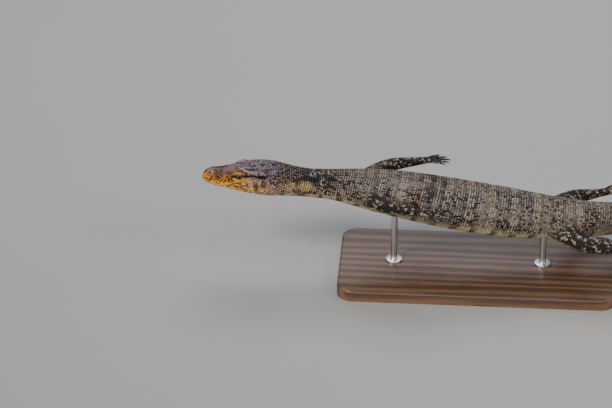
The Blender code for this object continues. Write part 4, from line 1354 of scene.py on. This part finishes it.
def buildScales(name, part):
    # one joined mesh of closed scales, each with its own colour and patch of the map
    roots, normals, ahead, reach = part["roots"], part["normals"], part["ahead"], part["reach"]
    count, corners = reach.shape
    k = np.arange(corners)
    after = (k + 1) % corners
    turns = 2 * math.pi * (k + 0.5) / corners
    ring = np.stack([np.cos(turns), np.sin(turns)], 1)
    out = reach[:, :, None] * ring
    flat = (ahead[:, None, :] * out[:, :, :1] + part["across"][:, None, :] * out[:, :, 1:]) * 0.001
    base = roots[:, None, :] + flat - normals[:, None, :] * (coat["sunk"] * 0.001)
    lift = part["high"][:, None] * (0.68 + 0.14 * ring[:, 0])
    shoulder = roots[:, None, :] + flat * coat["shoulder"] + normals[:, None, :] * (lift * 0.001)[:, :, None]
    lean = (0.16 * reach.mean(1) * part["lean"])[:, None]
    peak = roots + (ahead * lean + normals * part["high"][:, None]) * 0.001
    points = np.concatenate([base, shoulder, peak[:, None, :]], 1)
    each = points.shape[1]
    quads = np.stack([k, after, after + corners, k + corners], 1).ravel()
    caps = np.stack([k + corners, after + corners, np.full(corners, 2 * corners)], 1).ravel()
    under = k[::-1]
    loops = (np.arange(count) * each)[:, None] + np.concatenate([quads, caps, under])
    sizes = np.tile(np.concatenate([np.full(corners, 4), np.full(corners, 3), [corners]]), count)
    mesh = bpy.data.meshes.new(name)
    mesh.vertices.add(count * each)
    mesh.vertices.foreach_set("co", points.astype(np.float32).ravel())
    mesh.loops.add(loops.size)
    mesh.loops.foreach_set("vertex_index", loops.ravel().astype(np.int32))
    mesh.polygons.add(len(sizes))
    mesh.polygons.foreach_set("loop_start", np.concatenate([[0], np.cumsum(sizes)[:-1]]).astype(np.int32))
    mesh.polygons.foreach_set("use_smooth", np.ones(len(sizes), dtype=bool))
    mesh.update(calc_edges=True)
    local = np.concatenate([ring, ring * 0.62, [[0, 0]]]) * coat["patch"]
    cornerPlaces = np.concatenate([local[quads], local[caps], local[under] * 0.1 + (coat["patch"] * 1.2, 0)])
    spots = (0.01 + 0.98 * part["map"])[:, None, :] + cornerPlaces[None]
    mesh.uv_layers.new(name="OFBake").data.foreach_set("uv", spots.astype(np.float32).ravel())
    writeColours(mesh, np.repeat(part["colours"], each, 0))
    rim = np.concatenate([np.ones(corners), np.full(corners, coat["shoulderShade"]), [0.0]])
    writeValues(mesh, "rise", (1 - part["dot"][:, None] * rim).ravel())
    triangles = count * (4 * corners - 2)
    print("stage:", name, count, "scales,", triangles, "triangles")
    return addThing(name, mesh), triangles


def shapeScales():
    # the size, lie and colour of every scale
    grown = growCoat()
    roots, normals, size, kind = grown[:, :3], unit(grown[:, 3:6]), grown[:, 6:8], grown[:, 8]
    places = placesOf(roots)
    ahead = unit(places.ahead - normals * (places.ahead * normals).sum(1)[:, None])
    isLimb = places.limb >= 0
    along, turn = places.along, np.degrees(np.abs(places.theta))
    isHead = (along < body["headEnd"] + 1) & ~isLimb
    belly = step(100, 118, turn) * ~isLimb * ~isHead * step(900, 700, along)
    half = size * np.stack([0.53 + 0.02 * belly, 0.52 + 0.03 * belly], 1)
    half[kind == small] = size[kind == small] * 0.70
    half[kind == plate] = size[kind == plate] * 0.60
    chance = luck.random((len(roots), 4))
    half *= (0.93 + 0.14 * chance[:, 3])[:, None]
    high = np.where(isHead, coat["high"]["head"], coat["high"]["body"] - 0.24 * belly)
    high = np.where(isHead & (half.max(1) < 0.95), coat["high"]["fine"], high)
    high = np.where(isLimb, coat["high"]["limb"], high)
    keel = ~isLimb & (along > 640) & (turn < 11)  # the raised double row on top of the tail
    high = high * (1 - 0.35 * step(1200, 1540, along)) * (0.9 + 0.2 * chance[:, 3]) * np.where(keel, 2.1, 1)
    half[keel, 1] *= 0.85
    dot = np.where(isLimb, 0.7, 0.95 - 0.55 * belly - 0.2 * step(640, 760, along))
    dot = np.where(isHead, 0.35 + 0.45 * step(64, 92, along) * step(2, 12, places.up), dot)
    scales = {"roots": roots, "normals": normals, "ahead": ahead, "across": np.cross(normals, ahead),
              "half": half, "high": high, "lean": np.where(isHead | (belly > 0.5), 0.3, 1.2), "dot": dot,
              "colours": markings(places, chance[:, :3])}
    return scales, places, isHead


def dressSkin():
    scales, places, isHead = shapeScales()
    reach = {zone: outlines(scales, count) for zone, count in coat["sides"].items()}
    along, rise = places.along, places.rise
    limbTurn = np.arctan2(places.across, rise) / (2 * math.pi) + 0.5
    handTurn = np.clip(places.across / 30 + 0.5, 0, 1) * 0.48 + np.where(rise > 0, 0, 0.5)
    onHand = places.t > wrists[places.limb]
    limbMap = np.stack([np.clip(places.t / 195, 0, 1), np.where(onHand, handTurn, limbTurn)], 1)
    pieces = []
    for name, (start, end) in pieceSpans.items():
        chosen = isHead if name == "head_scales" else ~isHead & (places.limb < 0) & (along < end)
        if name not in ("head_scales", "neck_scales"):
            chosen = chosen & (along >= start)
        share = np.clip((along - start) / (end - start), 0, 1)
        span = np.stack([share, places.theta / (2 * math.pi) + 0.5], 1)
        pieces.append((name, chosen, span, "head_skin" if name == "head_scales" else "body_skin"))
    for number, name in enumerate(limbs):
        label = name.replace("arm", "arm_").replace("leg", "leg_").lower() + "_scales"
        pieces.append((label, places.limb == number, limbMap, "limb_skin"))
    total = 0
    for name, chosen, span, slot in pieces:
        part = {key: value[chosen] for key, value in scales.items()}
        part["reach"] = reach["head" if name == "head_scales" else "body"][chosen]
        thing, triangles = buildScales(name, {**part, "map": span[chosen]})
        enter(thing, name, scaleFinish, slot)
        total += triangles
    print("stage: coat of", total, "triangles")


dressSkin()
enter(bodySkin, "body_skin", skinFinish, "body_skin", *skin["nodes"])


# Eyes and the rims of the lids
def makeEye(node, side):
    centre, gaze, _, _ = eyeAxes(side)
    only()
    bpy.ops.mesh.primitive_uv_sphere_add(segments=72, ring_count=48, radius=eye["radius"] / 1000,
                                         location=centre)
    ball = bpy.context.active_object
    bpy.ops.object.transform_apply(location=True, rotation=True, scale=True)
    points = vertexArray(ball)
    outward = unit(points - centre)
    angle = np.arccos(np.clip(outward @ gaze, -1, 1))
    moveVertices(ball, points + outward * (eye["bulge"] * np.exp(-(angle / 0.5) ** 2))[:, None])
    writeValues(ball.data, "gaze", angle / (math.pi / 2))
    bpy.ops.object.shade_smooth()
    enter(ball, node + "_ball", irisFinish, "eye", node)


rims = {"radius": 0.42, "corner": 0.25, "stations": 44, "sides": 10, "beads": 21, "proud": 0.55}


def makeRims(name, side):
    # a beaded rim along each lid edge, thinner into the corners
    centre, gaze, rear, up = eyeAxes(side)
    size, stations, corners = eye["radius"] + eye["lid"], rims["stations"], rims["sides"]
    turns = 2 * math.pi * np.arange(corners) / corners
    ring = np.stack([np.cos(turns), np.sin(turns)], 1)[None, :, :, None]
    points, faces, colours = [], [], []
    for start, tone in ((0, "black"), (stations * corners, "brown")):
        share = np.linspace(-1, 1, stations)
        along = share * (eye["halfLength"] + 0.5)
        top, bottom = openingEdges(along)
        over = bottom - 0.35 if start else top + 0.35
        lines = unit(gaze + np.tan(along / size)[:, None] * rear + np.tan(over / size)[:, None] * up)
        path = centre + lines * (eye["radius"] + rims["proud"]) * 0.001
        across = unit(np.cross(lines, unit(np.gradient(path, axis=0))))
        thick = rims["corner"] + (rims["radius"] - rims["corner"]) * (1 - np.abs(share) ** 3)
        thick = thick * (1 + 0.09 * np.abs(np.sin(along * rims["beads"] / 5)))
        away = (lines[:, None] * ring[:, :, 0] + across[:, None] * ring[:, :, 1]) * thick[:, None, None]
        points.append((path[:, None] + away * 0.001).reshape(-1, 3))
        fade = step(0.72, 1.0, np.abs(share))[:, None]
        colours.append(np.repeat(paint[tone] + (paint["black"] - paint[tone]) * fade, corners, 0))
        for k, n in product(range(stations - 1), range(corners)):
            a, b = start + k * corners + n, start + k * corners + (n + 1) % corners
            faces.append((a, b, b + corners, a + corners))
        ends = [tuple(range(first, first + corners)) for first in (start, start + (stations - 1) * corners)]
        faces += [ends[0][::-1], ends[1]]
    mesh = bpy.data.meshes.new(name)
    mesh.from_pydata([tuple(point) for point in np.vstack(points)], [], faces)
    writeColours(mesh, np.vstack(colours))
    writeValues(mesh, "rise", np.ones(len(mesh.vertices)))
    thing = addThing(name, mesh)
    edited(thing, (bpy.ops.mesh.normals_make_consistent, {"inside": False}))
    bpy.ops.object.shade_smooth()
    enter(thing, name, skinFinish, "head_skin")


irisFinish = eyeFinish()
for sideName, side in (("left", 1), ("right", -1)):
    makeEye("eye_" + sideName, side)
    makeRims("lid_rims_" + sideName, side)
print("stage: eyes and lids")


# Claws, rounded from the CAD claws
def makeClaws(limbName, nodes, label):
    claws = []
    for node in nodes:
        claw = copyMerged([node])
        rounding = claw.modifiers.new("round", "SUBSURF")
        rounding.levels = rounding.render_levels = 2
        applyAll(claw)
        points = vertexArray(claw)
        far = limbPlace(limbName, points)[0]
        far = far - far.min()
        writeValues(claw.data, "tip", far / far.max())
        root = far < 0.9  # pushed back into the toe
        points[root] -= unit(points[(far > 1.5) & (far < 3)].mean(0) - points[root].mean(0)) * 0.0028
        moveVertices(claw, points)
        claws.append(claw)
    claws = joined(claws)
    bpy.ops.object.shade_smooth()
    enter(claws, label, clawFinish, "claw", *nodes)


clawFinish = hornFinish()
for limbName, end in zip(limbs, ("hand_left", "hand_right", "foot_left", "foot_right")):
    makeClaws(limbName, [f"claw_{end}_{number}" for number in range(1, 6)], f"claws_{end}")
print("stage: claws")

# The display stand: a board with round corners and two turned rods
board = {"corner": 0.026, "cornerSteps": 18, "edge": 0.003, "edgeSteps": 5, "inset": 0.002, "flat": 0.001}
rod = {"sides": 72, "foot": 0.013, "footHeight": 0.003, "edge": 0.0007, "radius": 0.005, "fillet": 0.0008,
       "sunk": 0.0009}
smoothAngle = math.radians(40)
woodFinish, rodFinish = walnutFinish(), steelFinish()


def pick(thing, kind, rule):
    # in edit mode, select the edges or faces that the rule names
    bpy.ops.mesh.select_mode(type=kind)
    bpy.ops.mesh.select_all(action="DESELECT")
    shape = bmesh.from_edit_mesh(thing.data)
    for item in shape.edges if kind == "EDGE" else shape.faces:
        item.select_set(bool(rule(item)))
    bmesh.update_edit_mesh(thing.data)


def shapeNew():
    # the new primitive with its place in its mesh, in edit mode
    bpy.ops.object.transform_apply(location=True, rotation=True, scale=True)
    bpy.ops.object.mode_set(mode="EDIT")
    return bpy.context.active_object


def makeBoard(node):
    low, high = (np.array(corner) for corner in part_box(node))
    only()
    bpy.ops.mesh.primitive_cube_add(size=1, location=(low + high) / 2, scale=high - low)
    thing = shapeNew()
    tall = 0.5 * high[2]
    pick(thing, "EDGE", lambda edge: abs(edge.verts[0].co.z - edge.verts[1].co.z) > tall)
    bpy.ops.mesh.bevel(offset=board["corner"], segments=board["cornerSteps"])
    pick(thing, "EDGE", lambda edge: min(vertex.co.z for vertex in edge.verts) > high[2] - 1e-5)
    bpy.ops.mesh.bevel(offset=board["edge"], segments=board["edgeSteps"])
    pick(thing, "FACE", lambda face: face.calc_area() > board["flat"])
    # the inset keeps the flat sides flat in the shading
    bpy.ops.mesh.inset(thickness=board["inset"], use_individual=True)
    bpy.ops.object.mode_set(mode="OBJECT")
    bpy.ops.object.shade_smooth_by_angle(angle=smoothAngle)
    enter(thing, node + "_board", woodFinish, "wood", node)


def makeRod(node):
    low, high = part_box(node)
    x, y = (low[0] + high[0]) / 2, (low[1] + high[1]) / 2
    only()
    bpy.ops.mesh.primitive_cylinder_add(vertices=rod["sides"], radius=rod["foot"], depth=rod["footHeight"],
                                        location=(x, y, low[2] + rod["footHeight"] / 2))
    thing = shapeNew()
    pick(thing, "FACE", lambda face: face.normal.z > 0.9)
    bpy.ops.mesh.bevel(offset=rod["edge"], segments=3)
    top = low[2] + rod["footHeight"] - 1e-6
    pick(thing, "FACE", lambda face: min(vertex.co.z for vertex in face.verts) > top)
    bpy.ops.mesh.inset(thickness=rod["foot"] - rod["edge"] - rod["radius"] - rod["fillet"])
    bpy.ops.mesh.extrude_region_move(TRANSFORM_OT_translate={"value": (0, 0, rod["fillet"])})
    share = rod["radius"] / (rod["radius"] + rod["fillet"])
    bpy.ops.transform.resize(value=(share, share, 1))
    rise = high[2] + rod["sunk"] - low[2] - rod["footHeight"] - rod["fillet"]
    bpy.ops.mesh.extrude_region_move(TRANSFORM_OT_translate={"value": (0, 0, rise)})
    bpy.ops.object.mode_set(mode="OBJECT")
    bpy.ops.object.shade_smooth_by_angle(angle=smoothAngle)
    enter(thing, node + "_turned", rodFinish, "steel", node)


makeBoard("stand_base")
for node in ("stand_rod_front", "stand_rod_rear"):
    makeRod(node)
print("stage: stand")

# Floor, light and camera
studio = {
    "floor": (0.275, 0.27, 0.262), "floorSize": 240,
    "sky": (0.80, 0.87, 1.0), "skyStrength": 0.25,
    "sun": (1.5, -1.3, 1.9), "sunStrength": 3.3, "sunColour": (1.0, 0.96, 0.90), "sunAngle": 0.30,
    "aim": (0, -0.1, 0.1),
    "lights": (  # place, width and height, watts, colour
        ((-1.2, -0.2, 1.9), (1.3, 1.3), 36, (0.84, 0.90, 1.0)),
        ((0.9, 1.7, 1.5), (1.0, 1.0), 22, (1.0, 0.98, 0.95)),
        ((3.9, 0.30, 0.88), (2.4, 0.8), 58, (1.0, 0.97, 0.93)),
    ),
}
view = {"azimuth": 94, "elevation": 31, "distance": 5.0, "pixelsPerMetre": 650, "snoutPixel": (202.6, 175.2),
        "picture": (612, 408), "sensor": 36}


def addLamp(lamp, towards):
    thing = addThing(lamp.name, lamp)
    thing.rotation_euler = towards.to_track_quat("-Z", "Y").to_euler()
    return thing


def makeStudio():
    only()
    bpy.ops.mesh.primitive_plane_add(size=studio["floorSize"], location=(0, 0, 0))
    floor = bpy.context.active_object
    floor.name = "floor"
    made = Finish("floor_paper", Roughness=0.75)
    tone = made.noise(made.place(), 3.0, 2.0)
    colour = made.mixed(tone, studio["floor"], [value * 0.97 for value in studio["floor"]])
    floor.data.materials.append(made.wear(Base_Color=colour))
    world = bpy.data.worlds.new("soft_sky")
    bpy.context.scene.world = world
    world.use_nodes = True
    background = next(node for node in world.node_tree.nodes if node.type == "BACKGROUND")
    background.inputs["Color"].default_value = (*studio["sky"], 1)
    background.inputs["Strength"].default_value = studio["skyStrength"]
    sun = bpy.data.lights.new("sun", "SUN")
    sun.energy, sun.color, sun.angle = studio["sunStrength"], studio["sunColour"], studio["sunAngle"]
    addLamp(sun, -Vector(studio["sun"]))
    for number, (place, size, watts, colour) in enumerate(studio["lights"]):
        lamp = bpy.data.lights.new(f"softbox_{number}", "AREA")
        lamp.shape, lamp.energy, lamp.color = "ELLIPSE", watts, colour
        lamp.size, lamp.size_y = size
        thing = addLamp(lamp, Vector(studio["aim"]) - Vector(place))
        thing.location, thing.visible_camera = place, False


def makeCamera():
    azimuth, elevation = math.radians(view["azimuth"]), math.radians(view["elevation"])
    towards = Vector((math.sin(azimuth) * math.cos(elevation), -math.cos(azimuth) * math.cos(elevation),
                      math.sin(elevation)))
    right = (-towards).cross(Vector((0, 0, 1))).normalized()
    up = right.cross(-towards)
    width, height = view["picture"]
    x, y = view["snoutPixel"]
    target = Vector(bodyPoint(0, 0, 0)) + right * ((width / 2 - x) / view["pixelsPerMetre"]) \
        - up * ((height / 2 - y) / view["pixelsPerMetre"])
    lens = bpy.data.cameras.new("camera")
    camera = addThing("camera", lens)
    lens.sensor_width = view["sensor"]
    lens.lens = view["sensor"] * view["distance"] * view["pixelsPerMetre"] / width
    camera.matrix_world = Matrix.Translation(target + towards * view["distance"]) \
        @ Matrix((right, up, towards)).transposed().to_4x4()
    bpy.context.scene.camera = camera


makeStudio()
makeCamera()
print("stage: studio and camera")
